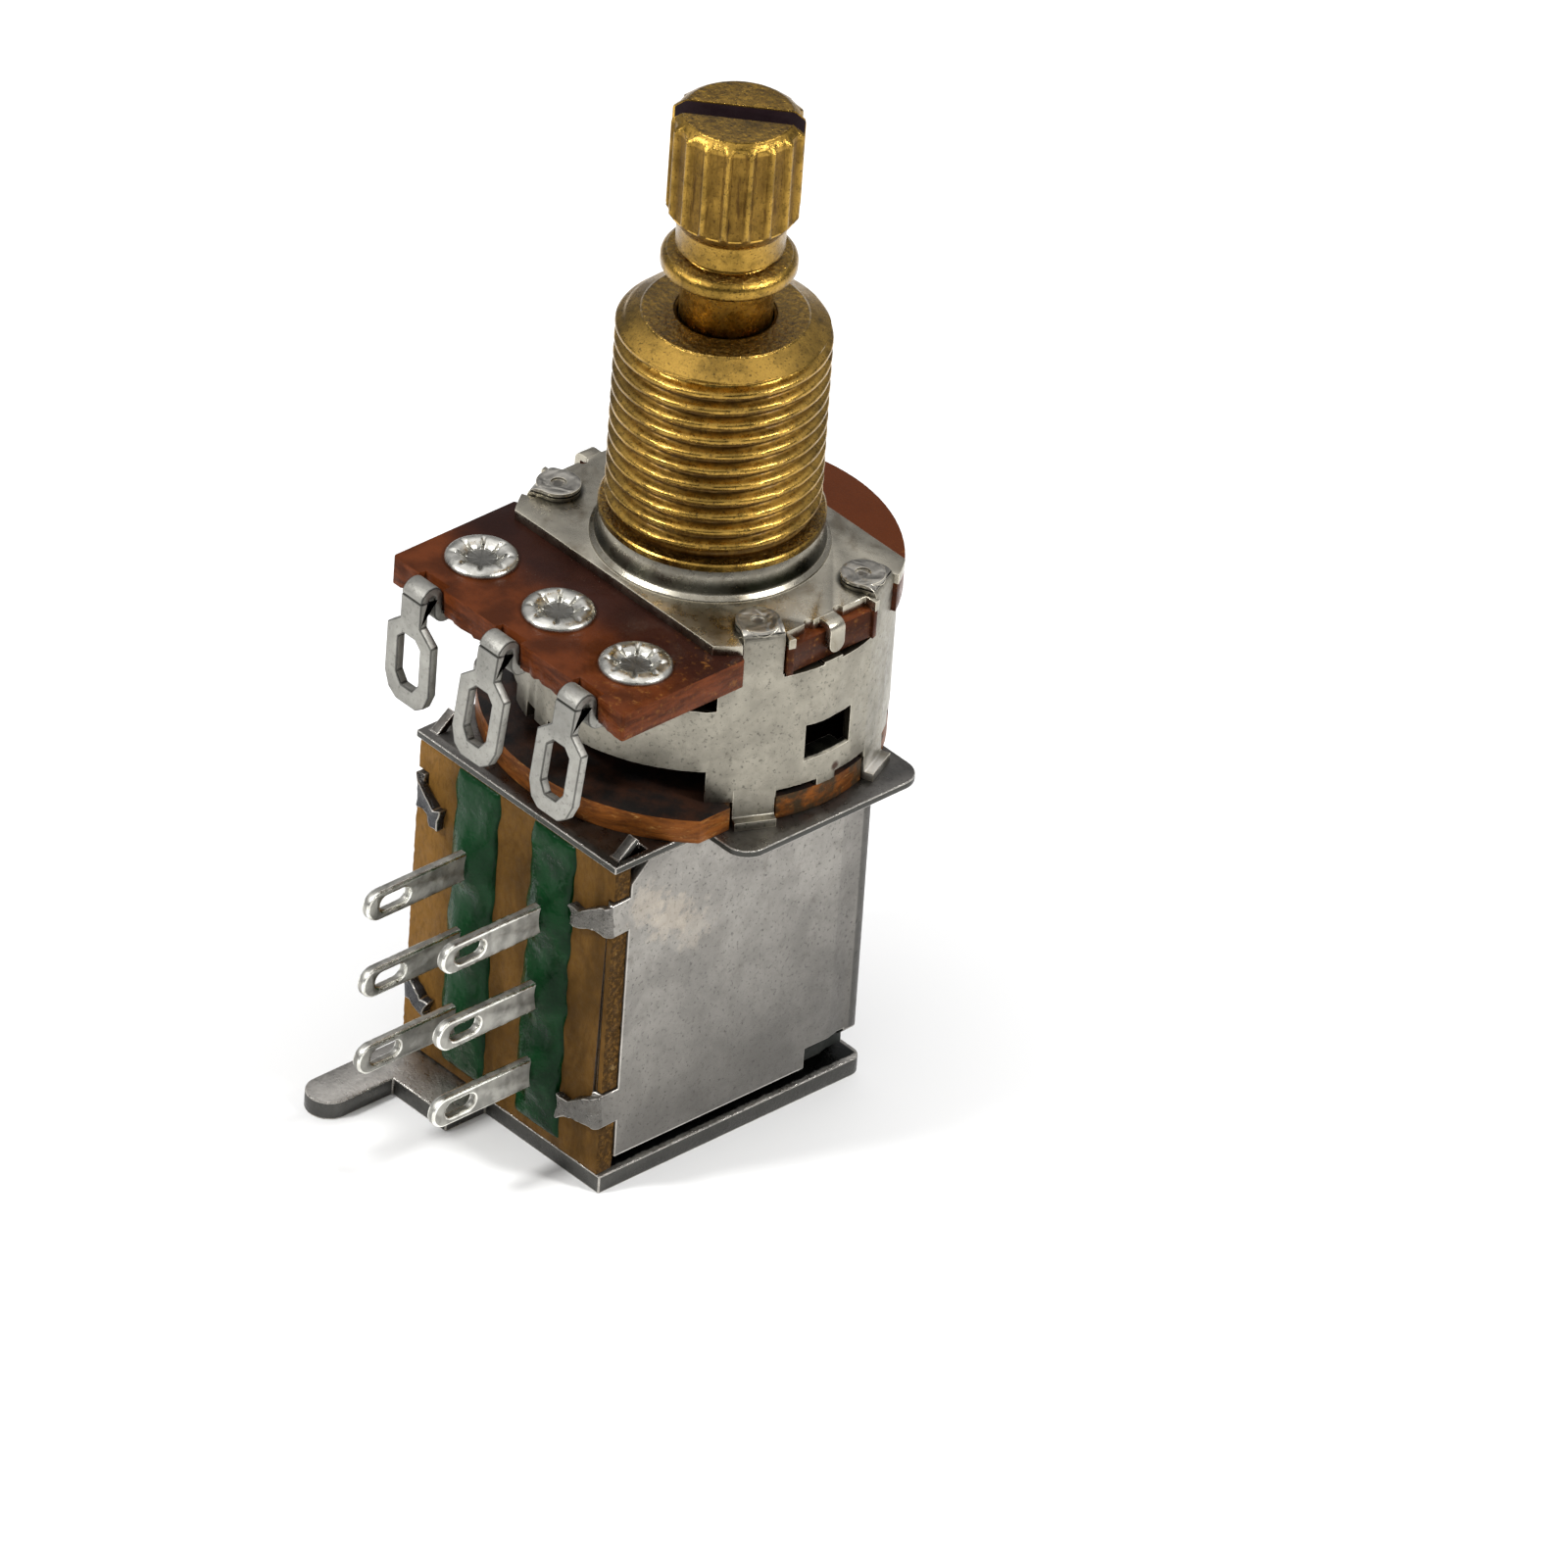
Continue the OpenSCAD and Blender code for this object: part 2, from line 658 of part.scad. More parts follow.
// Outline of the top plate: box part, wings and rounded corners
module top_plate_2d() {
  front = -box_front - 0.15;
  back = box_back + 0.1;
  corner = 1.1;
  wing_front = -5.5;
  translate([-box_w / 2, front]) square([box_w, back - front]);
  translate([-wing_w / 2 + corner, wing_front]) square([wing_w - 2 * corner, back - wing_front]);
  translate([-wing_w / 2, wing_front + corner]) square([wing_w, back - wing_front - 2 * corner]);
  for (sx = [-1, 1]) for (y = [wing_front + corner, back - corner])
    translate([sx * (wing_w / 2 - corner), y]) circle(corner);
}

module switch_top_plate() {
  flap_x = box_w / 2 - 0.6;
  flap_w = 0.55;
  flap_l = 1.6;
  flap_rise = 0.8;
  flap_run = 0.95;
  hinge_y = -box_front + 0.35;
  color(plated) union() {
    translate([0, 0, z_box]) linear_extrude(top_t) difference() {
      top_plate_2d();
      circle(d = shaft_hole_d);
      for (s = [-1, 1]) translate([s * flap_x, hinge_y + flap_l / 2]) square([flap_w, flap_l], center = true);
    }
    for (s = [-1, 1]) translate([s * flap_x, 0, 0]) extrude_x(flap_w - 0.06) polygon([
      [hinge_y - 0.1, z_box + 0.05], [hinge_y - 0.1, z_top - 0.05],
      [hinge_y + flap_run, z_top + flap_rise], [hinge_y + flap_run + 0.2, z_top + flap_rise - 0.2],
      [hinge_y + 0.3, z_box + 0.05]
    ]);
  }
}

// Outline of a box with round back corners, front at the given y
module box_2d(w, front, back, corner) {
  translate([-w / 2, front]) square([w, back - front - corner]);
  translate([-w / 2 + corner, front]) square([w - 2 * corner, back - front]);
  for (s = [-1, 1]) translate([s * (w / 2 - corner), back - corner]) circle(corner);
}

// Outline of the housing, or of what lies inside it by an inset, with the joggle near its back
module housing_2d(inset) {
  half = box_w / 2 - inset;
  step = 0.6;
  box_2d(2 * (half - joggle), wall_front, box_back - inset, box_corner - inset);
  polygon([
    [-half, wall_front], [half, wall_front], [half, joggle_y], [half - joggle, joggle_y + step],
    [-half + joggle, joggle_y + step], [-half, joggle_y]
  ]);
}

// One clamp on the right side: it passes the board's edge and its fishtail folds over the front
module board_clamp(z, inset, tip) {
  outer = box_w / 2 - inset;
  reach = outer - tip;
  round_r = 0.35;
  span = 4;
  translate([outer - box_t, board_y - box_t + round_r, z - clamp_half])
    cube([box_t, wall_front - board_y + box_t - round_r + 0.5, 2 * clamp_half]);
  intersection() {
    extrude_y(board_y - box_t, box_t) polygon([
      [outer, z + clamp_half], [tip + reach * 0.7, z + 0.45], [tip + reach * 0.27, z - 0.35], [tip, z - 0.3],
      [tip + reach * 0.1, z - 0.85], [tip + reach * 0.04, z - 1.4], [tip + reach * 0.3, z - 1.2],
      [tip + reach * 0.65, z - 0.75], [outer, z - clamp_half]
    ]);
    union() {
      translate([0, board_y - box_t, z - span / 2]) cube([outer - round_r, box_t, span]);
      translate([0, board_y - box_t + round_r, z - span / 2]) cube([outer, box_t - round_r, span]);
      translate([outer - round_r, board_y - box_t + round_r, z - span / 2]) cylinder(r = round_r, h = span);
    }
  }
}

// Folded sheet on three sides, with foot cut-outs, four clamps and two clinch tongues
module switch_housing() {
  z_wall = z_base + 0.75;
  band_y = box_back - 1;
  arch_w = 2.4;
  clinch_w = 2;
  clinch_x = 3;
  color(plated) union() {
    difference() {
      translate([0, 0, z_base]) linear_extrude(box_h) difference() {
        housing_2d(0);
        translate([0, -eps]) housing_2d(box_t);
      }
      translate([-box_w, -box_w, z_base - 1]) cube([2 * box_w, box_w + band_y, z_wall - z_base + 1]);
      translate([-box_w, band_y - arch_w, z_base - 1]) cube([2 * box_w, arch_w, 2.8]);
      for (s = [-1, 1]) {
        translate([s * box_w / 2, box_back, z_base]) rotate([0, 45, 0]) cube([2.6, 3, 2.6], center = true);
        translate([s * box_w / 2, wall_front, z_box]) rotate([45, 0, 0]) cube([3, 1.3, 1.3], center = true);
      }
    }
    for (z = clamp_z) {
      mirror([1, 0, 0]) board_clamp(z, clamp_insets[0], clamp_ends[0]);
      board_clamp(z, clamp_insets[1], clamp_ends[1]);
    }
    for (s = [-1, 1]) translate([s * clinch_x - clinch_w / 2, box_back - box_t, z_end + 0.05])
      cube([clinch_w, box_t, base_t + 0.5]);
  }
}

// Outline of the bottom plate: step and round solder tongue on the lug side
module bottom_plate_2d() {
  half = box_w / 2;
  front = -box_front + 0.1;
  back = box_back + 0.2;
  step_y = -12.6;
  step_x = -0.95;
  lug_x = -half + tongue_lug_w / 2;
  corner = 0.6;
  box_2d(box_w, front, back, corner);
  translate([-half, step_y]) square([half + step_x, front - step_y + 1]);
  translate([lug_x - tongue_lug_w / 2, -tongue_lug_y + tongue_lug_w / 2])
    square([tongue_lug_w, tongue_lug_y + step_y]);
  translate([lug_x, -tongue_lug_y + tongue_lug_w / 2]) circle(tongue_lug_w / 2);
}

module switch_bottom_plate() {
  clinch_w = 2;
  clinch_x = 3;
  color(plated) translate([0, 0, z_end]) linear_extrude(base_t) difference() {
    bottom_plate_2d();
    for (s = [-1, 1]) translate([s * clinch_x - clinch_w / 2, box_back - box_t]) square([clinch_w, box_t]);
  }
}

// Board with side notches for the clamps and slots for the blades
module terminal_board() {
  color(board_tan) extrude_y(board_y, board_t) difference() {
    translate([-board_half, board_bottom]) square([2 * board_half, board_top - board_bottom]);
    for (z = clamp_z) for (c = [0, 1]) {
      inner = box_w / 2 - clamp_insets[c] - box_t - 0.05;
      translate([(2 * c - 1) * (inner + 1), z]) square([2, 2 * clamp_half + 0.1], center = true);
    }
    for (z = rows) for (s = [-1, 1]) translate([s * column_pitch / 2, z])
      square([blade_t, blade_w], center = true);
  }
}

// Stripe of sealing lacquer with a mound round each blade
module lacquer(s) {
  x = s * column_pitch / 2;
  sphere_r = (mound_r * mound_r + mound_h * mound_h) / (2 * mound_h);
  stripe_end = 0.3;
  z_low = board_bottom + 0.5;
  z_high = board_top - 0.05;
  color(lacquer_green) difference() {
    union() {
      extrude_y(board_y - stripe_t, stripe_t) translate([x, (z_low + z_high) / 2]) {
        square([stripe_w, z_high - z_low - 2 * stripe_end], center = true);
        square([stripe_w - 2 * stripe_end, z_high - z_low], center = true);
      }
      for (z = rows) translate([x, board_y, z]) rotate([90, 0, 0]) rotate_extrude() intersection() {
        translate([0, mound_h - sphere_r]) circle(sphere_r, $fn = 48);
        square([mound_r, mound_h]);
      }
    }
    for (z = rows) translate([x - blade_t / 2, board_y - 3, z - blade_w / 2]) cube([blade_t, 4, blade_w]);
    for (z = clamp_z) translate([s > 0 ? clamp_end : -clamp_end - 3, board_y - 3, z - 1.45])
      cube([3, 4, 1.45 + clamp_half]);
  }
}

// Blade with a round end and an oblong eye, and its contact pad behind the board
module switch_terminal(s, k) {
  tip = board_y - blade_l;
  z = rows[k];
  eye_w = 0.8;
  eye_l = 1.7;
  eye_from_tip = 1.6;
  color(tinned) translate([s * column_pitch / 2, 0, 0]) union() {
    extrude_x(blade_t) difference() {
      union() {
        translate([tip + blade_w / 2, z - blade_w / 2]) square([board_in_y - tip - blade_w / 2, blade_w]);
        translate([tip + blade_w / 2, z]) circle(blade_w / 2);
      }
      translate([tip + eye_from_tip, z]) rotate([0, 0, 90]) round_slot(eye_w, eye_l);
    }
    translate([-pad_w / 2, board_in_y, z - pad_h / 2]) cube([pad_w, pad_t, pad_h]);
  }
}

slider_front = board_in_y + pad_t + 0.6;
slider_back = box_back - box_t - slide_gap;
slider_w = box_w - 2 * box_t - 2 * slide_gap - 2 * joggle;
z_slider_end = z_base + 0.6;
channel_d = 1.1;

// Moulded slider: fork in the shaft's groove, channels for the contacts, hollow back
module switch_slider() {
  fork_t = groove_l - 0.1;
  z_fork_low = z_slider - fork_t;
  pocket_r = tail_d / 2 + slide_gap + 0.1;
  z_pocket = z_shaft_end - 0.2;
  slot_r = groove_d / 2 + slide_gap / 2;
  wall = 1.3;
  far = slider_back + 1;
  color(slider_white) difference() {
    translate([0, 0, z_slider_end]) linear_extrude(z_slider - z_slider_end) intersection() {
      housing_2d(box_t + slide_gap);
      translate([-box_w, slider_front]) square([2 * box_w, slider_back - slider_front]);
    }
    translate([0, 0, z_pocket]) cylinder(r = pocket_r, h = z_fork_low - z_pocket);
    translate([-pocket_r, 0, z_pocket]) cube([2 * pocket_r, far, z_fork_low - z_pocket]);
    translate([0, 0, z_pocket]) cylinder(r = slot_r, h = 4);
    translate([-slot_r, 0, z_pocket]) cube([2 * slot_r, far, 4]);
    translate([-slider_w / 2 + wall, slider_front + 4, z_slider_end + wall])
      cube([slider_w - 2 * wall, far, z_pocket - z_slider_end - 2 * wall]);
    for (s = [-1, 1]) translate([s * column_pitch / 2 - contact_w / 2, slider_front - 1, rows[2] - 1.6])
      cube([contact_w, channel_d + 1, row_pitch + 3.2]);
  }
}

// Bowed strip that joins the lower two pads at rest and the upper two when pulled
module bridge_contact(s) {
  y_tip = board_in_y + pad_t + touch_gap + contact_t / 2;
  y_root = slider_front + channel_d - contact_t / 2;
  z_low = rows[2];
  z_mid = z_low + row_pitch / 2;
  bow = 0.9;
  path = [
    [y_tip + 0.35, z_low - 0.9], [y_tip, z_low - 0.25], [y_tip, z_low + 0.25], [y_root, z_mid - bow],
    [y_root, z_mid + bow], [y_tip, z_low + row_pitch - 0.25], [y_tip, z_low + row_pitch + 0.25],
    [y_tip + 0.35, z_low + row_pitch + 0.9]
  ];
  color(tinned) translate([s * column_pitch / 2, 0, 0]) extrude_x(contact_w - 0.1) polygon(strip(path, contact_t));
}

bushing();
face_plate();
resistor_wafer();
carbon_track();
collector_ring();
pot_can();
rear_disc();
rotor();
wiper();
shaft();
switch_top_plate();
switch_housing();
switch_bottom_plate();
terminal_board();
switch_slider();
for (i = [0:2]) {
  pot_terminal(i - 1);
  eyelet(i - 1);
}
for (c = [0:1]) {
  s = 2 * c - 1;
  lacquer(s);
  bridge_contact(s);
  for (k = [0:2])
    switch_terminal(s, k);
}
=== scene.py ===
"""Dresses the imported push-pull potentiometer: shapes, finishes, studio and camera."""

import json
import math

import bmesh
import bpy
from bpy.props import FloatProperty, FloatVectorProperty, IntProperty, PointerProperty
from bpy.types import Operator, Panel, PropertyGroup
from mathutils import Matrix, Vector, noise
from mathutils.bvhtree import BVHTree

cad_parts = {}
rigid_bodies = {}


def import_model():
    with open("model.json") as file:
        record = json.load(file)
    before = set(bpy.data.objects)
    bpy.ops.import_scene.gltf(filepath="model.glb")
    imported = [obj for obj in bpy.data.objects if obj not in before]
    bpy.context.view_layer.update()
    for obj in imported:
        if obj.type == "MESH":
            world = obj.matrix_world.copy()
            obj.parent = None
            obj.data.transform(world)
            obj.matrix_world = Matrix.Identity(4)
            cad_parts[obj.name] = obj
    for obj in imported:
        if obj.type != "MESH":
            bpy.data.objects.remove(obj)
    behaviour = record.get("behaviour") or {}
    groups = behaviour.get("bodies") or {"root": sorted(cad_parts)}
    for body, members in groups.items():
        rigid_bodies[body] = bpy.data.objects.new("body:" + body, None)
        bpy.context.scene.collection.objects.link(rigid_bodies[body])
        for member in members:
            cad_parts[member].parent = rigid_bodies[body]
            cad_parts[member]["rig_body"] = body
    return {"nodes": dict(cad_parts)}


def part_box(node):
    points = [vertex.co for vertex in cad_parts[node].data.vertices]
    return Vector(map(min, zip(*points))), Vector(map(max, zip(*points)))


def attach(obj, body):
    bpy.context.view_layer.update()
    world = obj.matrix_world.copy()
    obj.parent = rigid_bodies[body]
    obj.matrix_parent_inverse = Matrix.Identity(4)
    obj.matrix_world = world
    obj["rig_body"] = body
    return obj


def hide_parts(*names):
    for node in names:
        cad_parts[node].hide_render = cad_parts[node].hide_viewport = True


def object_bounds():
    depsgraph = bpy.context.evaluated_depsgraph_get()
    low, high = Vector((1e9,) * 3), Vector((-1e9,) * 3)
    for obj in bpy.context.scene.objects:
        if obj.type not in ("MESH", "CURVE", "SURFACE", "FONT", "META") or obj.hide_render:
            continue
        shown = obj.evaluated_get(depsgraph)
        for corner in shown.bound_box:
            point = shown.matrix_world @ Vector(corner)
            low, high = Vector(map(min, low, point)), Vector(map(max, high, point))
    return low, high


bl_info = {
    "name": "Push-pull potentiometer",
    "version": (1, 0, 0),
    "blender": (4, 5, 0),
    "location": "3D View > Sidebar > Potentiometer",
    "description": "Shapes and finishes of a push-pull potentiometer, and its studio",
    "category": "Object",
}

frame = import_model()
cad_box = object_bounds()

MM = 0.001
SIDES = ("left", "middle", "right")
COLUMNS = ("left", "right")
ROWS = (1, 2, 3)

# Mathutils' noise vectors start from the clock unless they are seeded
noise.seed_set(7)


# ---------------------------------------------------------------- settings


def length(name, description, millimetres, low=0.0, high=100.0):
    """A size that the user sees in the scene's length unit."""
    return FloatProperty(
        name=name, description=description, default=millimetres * MM, min=low * MM, max=high * MM,
        precision=5, subtype="DISTANCE", unit="LENGTH",
    )


def angle(name, description, degrees):
    """An angle that the user sees in degrees."""
    return FloatProperty(
        name=name, description=description, default=math.radians(degrees), subtype="ANGLE", unit="ROTATION"
    )


def amount(name, description, value, high=10.0):
    """A plain factor."""
    return FloatProperty(name=name, description=description, default=value, min=0.0, max=high)


def count(name, description, value, low, high):
    """A whole number."""
    return IntProperty(name=name, description=description, default=value, min=low, max=high)


def colour(name, description, value):
    """A linear colour without alpha."""
    return FloatVectorProperty(
        name=name, description=description, default=value, size=3, min=0.0, max=1.0, subtype="COLOR"
    )


def group(name, description, kind):
    """A group of settings."""
    return PointerProperty(type=kind, name=name, description=description)


class PullPotThread(PropertyGroup):
    """Sizes of the bushing's thread."""

    pitch: length("Pitch", "Height of one turn of the thread", 25.4 / 32, 0.4, 2.0)
    depth: length("Depth", "Height of a ridge over the root", 0.4, 0.1, 1.0)
    radius: length("Radius", "Radius over the ridges", 4.7625, 3.0, 8.0)
    bevel_height: length("Bevel height", "Height of the bevel at the top", 0.6, 0.1, 2.0)
    bevel_width: length("Bevel width", "Width of the bevel at the top", 1.13, 0.1, 2.0)
    segments: count("Segments", "Steps round the thread", 160, 48, 400)
    rows: count("Rows", "Steps over the thread's height", 170, 60, 400)


class PullPotShaft(PropertyGroup):
    """Sizes of the shaft's head."""

    splines: count("Splines", "Number of splines", 18, 6, 36)
    groove: length("Groove", "Depth of a groove between two splines", 0.24, 0.05, 0.6)
    slot_width: length("Slot width", "Width of the screwdriver slot", 1.0, 0.4, 2.0)
    slot_depth: length("Slot depth", "Depth of the slot that splits the head", 4.9, 0.4, 6.0)
    crown_height: length("Crown height", "Height of the head's bevel", 0.45, 0.1, 1.0)
    crown_width: length("Crown width", "Width of the head's bevel", 0.62, 0.1, 1.0)
    slot_turn: angle("Slot turn", "Turn of the slot seen from above", 42.0)


class PullPotEyelet(PropertyGroup):
    """Sizes of a crimped eyelet."""

    petals: count("Petals", "Petals of the crimped flange", 8, 4, 16)
    cleft: amount("Cleft", "Share of the flange's height that a cleft takes", 0.92, 1.0)


class PullPotEdges(PropertyGroup):
    """Widths of the rounded, worn edges."""

    sheet: length("Sheet edge", "Rounded edge of the steel sheets", 0.05, 0.01, 0.2)
    laminate: length("Laminate edge", "Rounded edge of the laminates", 0.05, 0.01, 0.2)
    crumple: length("Crumple", "How far the folded clamps are crumpled", 0.13, 0.0, 0.3)
    fray: length("Fray", "How far the board's edges are frayed", 0.09, 0.0, 0.3)


class PullPotColours(PropertyGroup):
    """Main colours of the finishes."""

    brass: colour("Brass", "Aged brass of the shaft and bushing", (0.31, 0.185, 0.036))
    nickel: colour("Nickel", "Satin plate of the face plate", (0.40, 0.37, 0.30))
    can: colour("Can", "Dull plate of the can", (0.36, 0.335, 0.275))
    cut: colour("Cut", "Dirty cut faces of the can", (0.074, 0.06425, 0.04525))
    steel: colour("Steel", "Dirty plate of the switch", (0.30, 0.285, 0.26))
    tin: colour("Tin", "Tinned lugs and eyelets", (0.45, 0.44, 0.40))
    wafer: colour("Wafer", "Glossy laminate of the wafer", (0.105, 0.026, 0.007))
    disc: colour("Disc", "Orange-brown laminate of the rear disc", (0.20, 0.062, 0.010))
    board: colour("Board", "Tan laminate of the terminal board", (0.145, 0.072, 0.016))
    lacquer: colour("Lacquer", "Green sealing lacquer", (0.003, 0.032, 0.008))
    carbon: colour("Carbon", "Printed carbon film", (0.05, 0.05, 0.048))
    rotor: colour("Rotor", "Black moulding of the rotor", (0.03, 0.03, 0.032))
    slider: colour("Slider", "White moulding of the slider", (0.66, 0.65, 0.60))
    # Near-black colour of dirt and painted shade in the shaft's slot
    grime: colour("Grime", "Dark grime in the shaft's slot", (0.016, 0.007, 0.009))
    floor: colour("Floor", "Plain pale floor", (0.93, 0.93, 0.92))


class PullPotStudio(PropertyGroup):
    """Where the camera of the photograph stood, and how bright the studio is."""

    azimuth: angle("Azimuth", "Camera's turn round the shaft", 46.08)
    elevation: angle("Elevation", "Camera's angle over the floor", 34.75)
    roll: angle("Roll", "Camera's turn round its own axis", 4.11)
    distance: length("Distance", "From the camera to the bushing", 1188.8, 100.0, 5000.0)
    key: amount("Key light", "Power of the large soft light", 1.0)
    fill: amount("Fill light", "Strength of the light all round", 1.0)


class PullPotSettings(PropertyGroup):
    """All that a user would change."""

    thread: group("Thread", "Thread of the bushing", PullPotThread)
    shaft: group("Shaft", "Head of the shaft", PullPotShaft)
    eyelet: group("Eyelet", "Crimped eyelets", PullPotEyelet)
    edges: group("Edges", "Rounded and worn edges", PullPotEdges)
    colours: group("Colours", "Main colours", PullPotColours)
    studio: group("Studio", "Camera and light", PullPotStudio)


def settings():
    """The scene's settings of this part."""
    return bpy.context.scene.pull_pot


# ---------------------------------------------------------------- nodes


def plug(socket, value):
    """Links a number or socket to an input, or sets a plain number, vector or colour there."""
    if isinstance(value, Number):
        value = value.socket
    if isinstance(value, bpy.types.NodeSocket):
        socket.id_data.links.new(value, socket)
    elif socket.type == "RGBA" and len(value) == 3:
        socket.default_value = (*value, 1.0)
    else:
        socket.default_value = value


def add_node(tree, kind, *feeds, **facts):
    """A new node with its properties from facts, and its inputs from pairs of socket and value."""
    node = tree.nodes.new(kind)
    for key, value in facts.items():
        setattr(node, key, value)
    for socket, value in feeds:
        plug(node.inputs[socket], value)
    return node


class Number:
    """A number that a node gives. Sums with it add Math nodes to its tree."""

    def __init__(self, socket):
        self.socket = socket

    def join(self, operation, other=0.0):
        """This number and another one, joined by an operation of the Math node."""
        feeds = ((0, self), (1, other))
        return Number(add_node(self.socket.id_data, "ShaderNodeMath", *feeds, operation=operation).outputs[0])

    def __add__(self, other):
        return self.join("ADD", other)

    def __sub__(self, other):
        return self.join("SUBTRACT", other)

    def __mul__(self, other):
        return self.join("MULTIPLY", other)

    def __truediv__(self, other):
        return self.join("DIVIDE", other)

    def __abs__(self):
        return self.join("ABSOLUTE")

    def root(self):
        return self.join("SQRT")

    def least(self, other):
        return self.join("MINIMUM", other)

    def most(self, other):
        return self.join("MAXIMUM", other)

    def step(self, low, high, start=0.0, end=1.0):
        """Smooth step from start at low to end at high."""
        feeds = (("Value", self), ("From Min", low), ("From Max", high), ("To Min", start), ("To Max", end))
        node = add_node(self.socket.id_data, "ShaderNodeMapRange", *feeds, interpolation_type="SMOOTHSTEP")
        return Number(node.outputs["Result"])

    def fall(self, low, high):
        """1 below low, 0 above high, and smooth between."""
        return self.step(low, high, 1.0, 0.0)


def shade(value, factor):
    """A colour made darker or lighter."""
    return tuple(min(1.0, part * factor) for part in value)


def tint(value, other, share):
    """A colour moved towards another one."""
    return tuple(a + (b - a) * share for a, b in zip(value, other))


# ---------------------------------------------------------------- finishes


class Finish:
    """One procedural material, painted in layers. Its textures are measured in millimetres of object
    space, and a plain number given as a colour means that shade of the base."""

    COAT_ROUGHNESS = 0.16

    def __init__(self, name, base, metallic=0.0, specular=0.5, coat=0.0):
        self.material = bpy.data.materials.new(name)
        self.material.use_nodes = True
        self.tree = self.material.node_tree
        self.shader = self.tree.nodes["Principled BSDF"]
        self.shader.inputs["Metallic"].default_value = metallic
        self.shader.inputs["Specular IOR Level"].default_value = specular
        self.shader.inputs["Coat Weight"].default_value = coat
        self.shader.inputs["Coat Roughness"].default_value = self.COAT_ROUGHNESS
        self.base = base
        self.colour = base
        self.normal = None
        self.source = self.add("ShaderNodeTexCoord")
        feeds = ((0, self.source.outputs["Object"]), ("Scale", 1.0 / MM))
        self.where = self.add("ShaderNodeVectorMath", *feeds, operation="SCALE").outputs[0]

    def add(self, kind, *feeds, **facts):
        return add_node(self.tree, kind, *feeds, **facts)

    def part(self, vector, letter):
        """One component of a vector."""
        return Number(self.add("ShaderNodeSeparateXYZ", (0, vector)).outputs["XYZ".index(letter)])

    def axis(self, letter):
        """One coordinate of the place, in millimetres."""
        return self.part(self.where, letter)

    def facing(self, letter):
        """One component of the surface's normal in object space."""
        return self.part(self.source.outputs["Normal"], letter)

    def reach(self):
        """Distance from the shaft's axis, in millimetres."""
        x, y = self.axis("X"), self.axis("Y")
        return (x * x + y * y).root()

    def button(self, x, y):
        """Distance in plan from the nearest of the four places at plus or minus x and y."""
        across, along = abs(self.axis("X")) - x, abs(self.axis("Y")) - y
        return (across * across + along * along).root()

    def near(self, spot, radius, ragged):
        """1 at a spot and 0 from a radius away, both in millimetres, with a ragged rim."""
        gap = self.add("ShaderNodeVectorMath", (0, self.where), (1, spot), operation="DISTANCE")
        rim = (self.cloud(2.2 / radius, 7.0, 0.75) - 0.5) * (2.0 * ragged)
        return (Number(gap.outputs["Value"]) + rim).fall(0.35 * radius, radius)

    def cloud(self, scale, detail=4.0, roughness=0.55, distortion=0.0, stretch=None):
        """Noise from 0 to 1, with so many features a millimetre, drawn out where stretch is small."""
        place = self.where
        if stretch is not None:
            place = self.add("ShaderNodeVectorMath", (0, place), (1, stretch), operation="MULTIPLY").outputs[0]
        feeds = (("Scale", scale), ("Detail", detail), ("Roughness", roughness), ("Distortion", distortion))
        return Number(self.add("ShaderNodeTexNoise", *feeds, ("Vector", place)).outputs[0])

    def patches(self, low, high, *cloud):
        """Soft-edged patches: a cloud's step from low to high."""
        return self.cloud(*cloud).step(low, high)

    def cells(self, scale):
        """Distance to the nearest of scattered points."""
        node = self.add("ShaderNodeTexVoronoi", ("Scale", scale), ("Vector", self.where))
        return Number(node.outputs["Distance"])

    def blend(self, share, first, second):
        """Colour that goes from first to second with share."""
        first, second = [shade(self.base, c) if isinstance(c, float) else c for c in (first, second)]
        return self.add("ShaderNodeMix", (0, share), (6, first), (7, second), data_type="RGBA").outputs[2]

    def ground(self, share, first, second):
        """The first layer of colour."""
        self.colour = self.blend(share, first, second)

    def cover(self, share, layer):
        """A further layer of colour, as thick as share."""
        self.colour = self.blend(share, self.colour, layer)

    def bump(self, height, depth, strength=1.0):
        """Raises the surface by up to depth millimetres."""
        node = self.add("ShaderNodeBump", ("Strength", strength), ("Distance", depth * MM), ("Height", height))
        if self.normal is not None:
            plug(node.inputs["Normal"], self.normal)
        self.normal = node.outputs["Normal"]

    def matt(self, low, high, *cloud):
        """Ends the finish with a roughness that wanders with a cloud from low to high."""
        return self.done(self.cloud(*cloud).step(0.3, 0.7, low, high))

    def done(self, roughness):
        """Wires up colour, roughness and bumps."""
        plug(self.shader.inputs["Base Color"], self.colour)
        plug(self.shader.inputs["Roughness"], roughness)
        if self.normal is not None:
            plug(self.shader.inputs["Normal"], self.normal)
            if self.shader.inputs["Coat Weight"].default_value > 0.0:
                plug(self.shader.inputs["Coat Normal"], self.normal)
        return self.material


# Places that the finishes go by, in millimetres: the folded ears in plan and their height, the flank of
# the boss with its painted reflection, the front right corner of the face plate with its painted
# reflection, the can's wall and window rim, the box of the switch over its foot, the heights between
# which painted shade darkens the housing, its folds with their painted shade and its lower rim with its
# painted highlight
EAR_X, EAR_Y, EAR_LEVEL = 6.58, 3.04, -1.6
BOSS_FOOT, BOSS_TOP, BOSS_REACH = -1.55, -0.56, 4.95
PLATE_CORNER = (4.6, -4.9, -1.75)
WALL, WINDOW_RIM = 8.33, 8.18
BOX_SIDE, BOX_FRONT, BOX_BACK = 6.4, -10.2, 5.0
DARK_BELOW, BRIGHT_ABOVE = -26.5, -15.0
SIDE_FOLD, REAR_FOLD, LOWER_RIM = 3.05, 4.35, -27.19


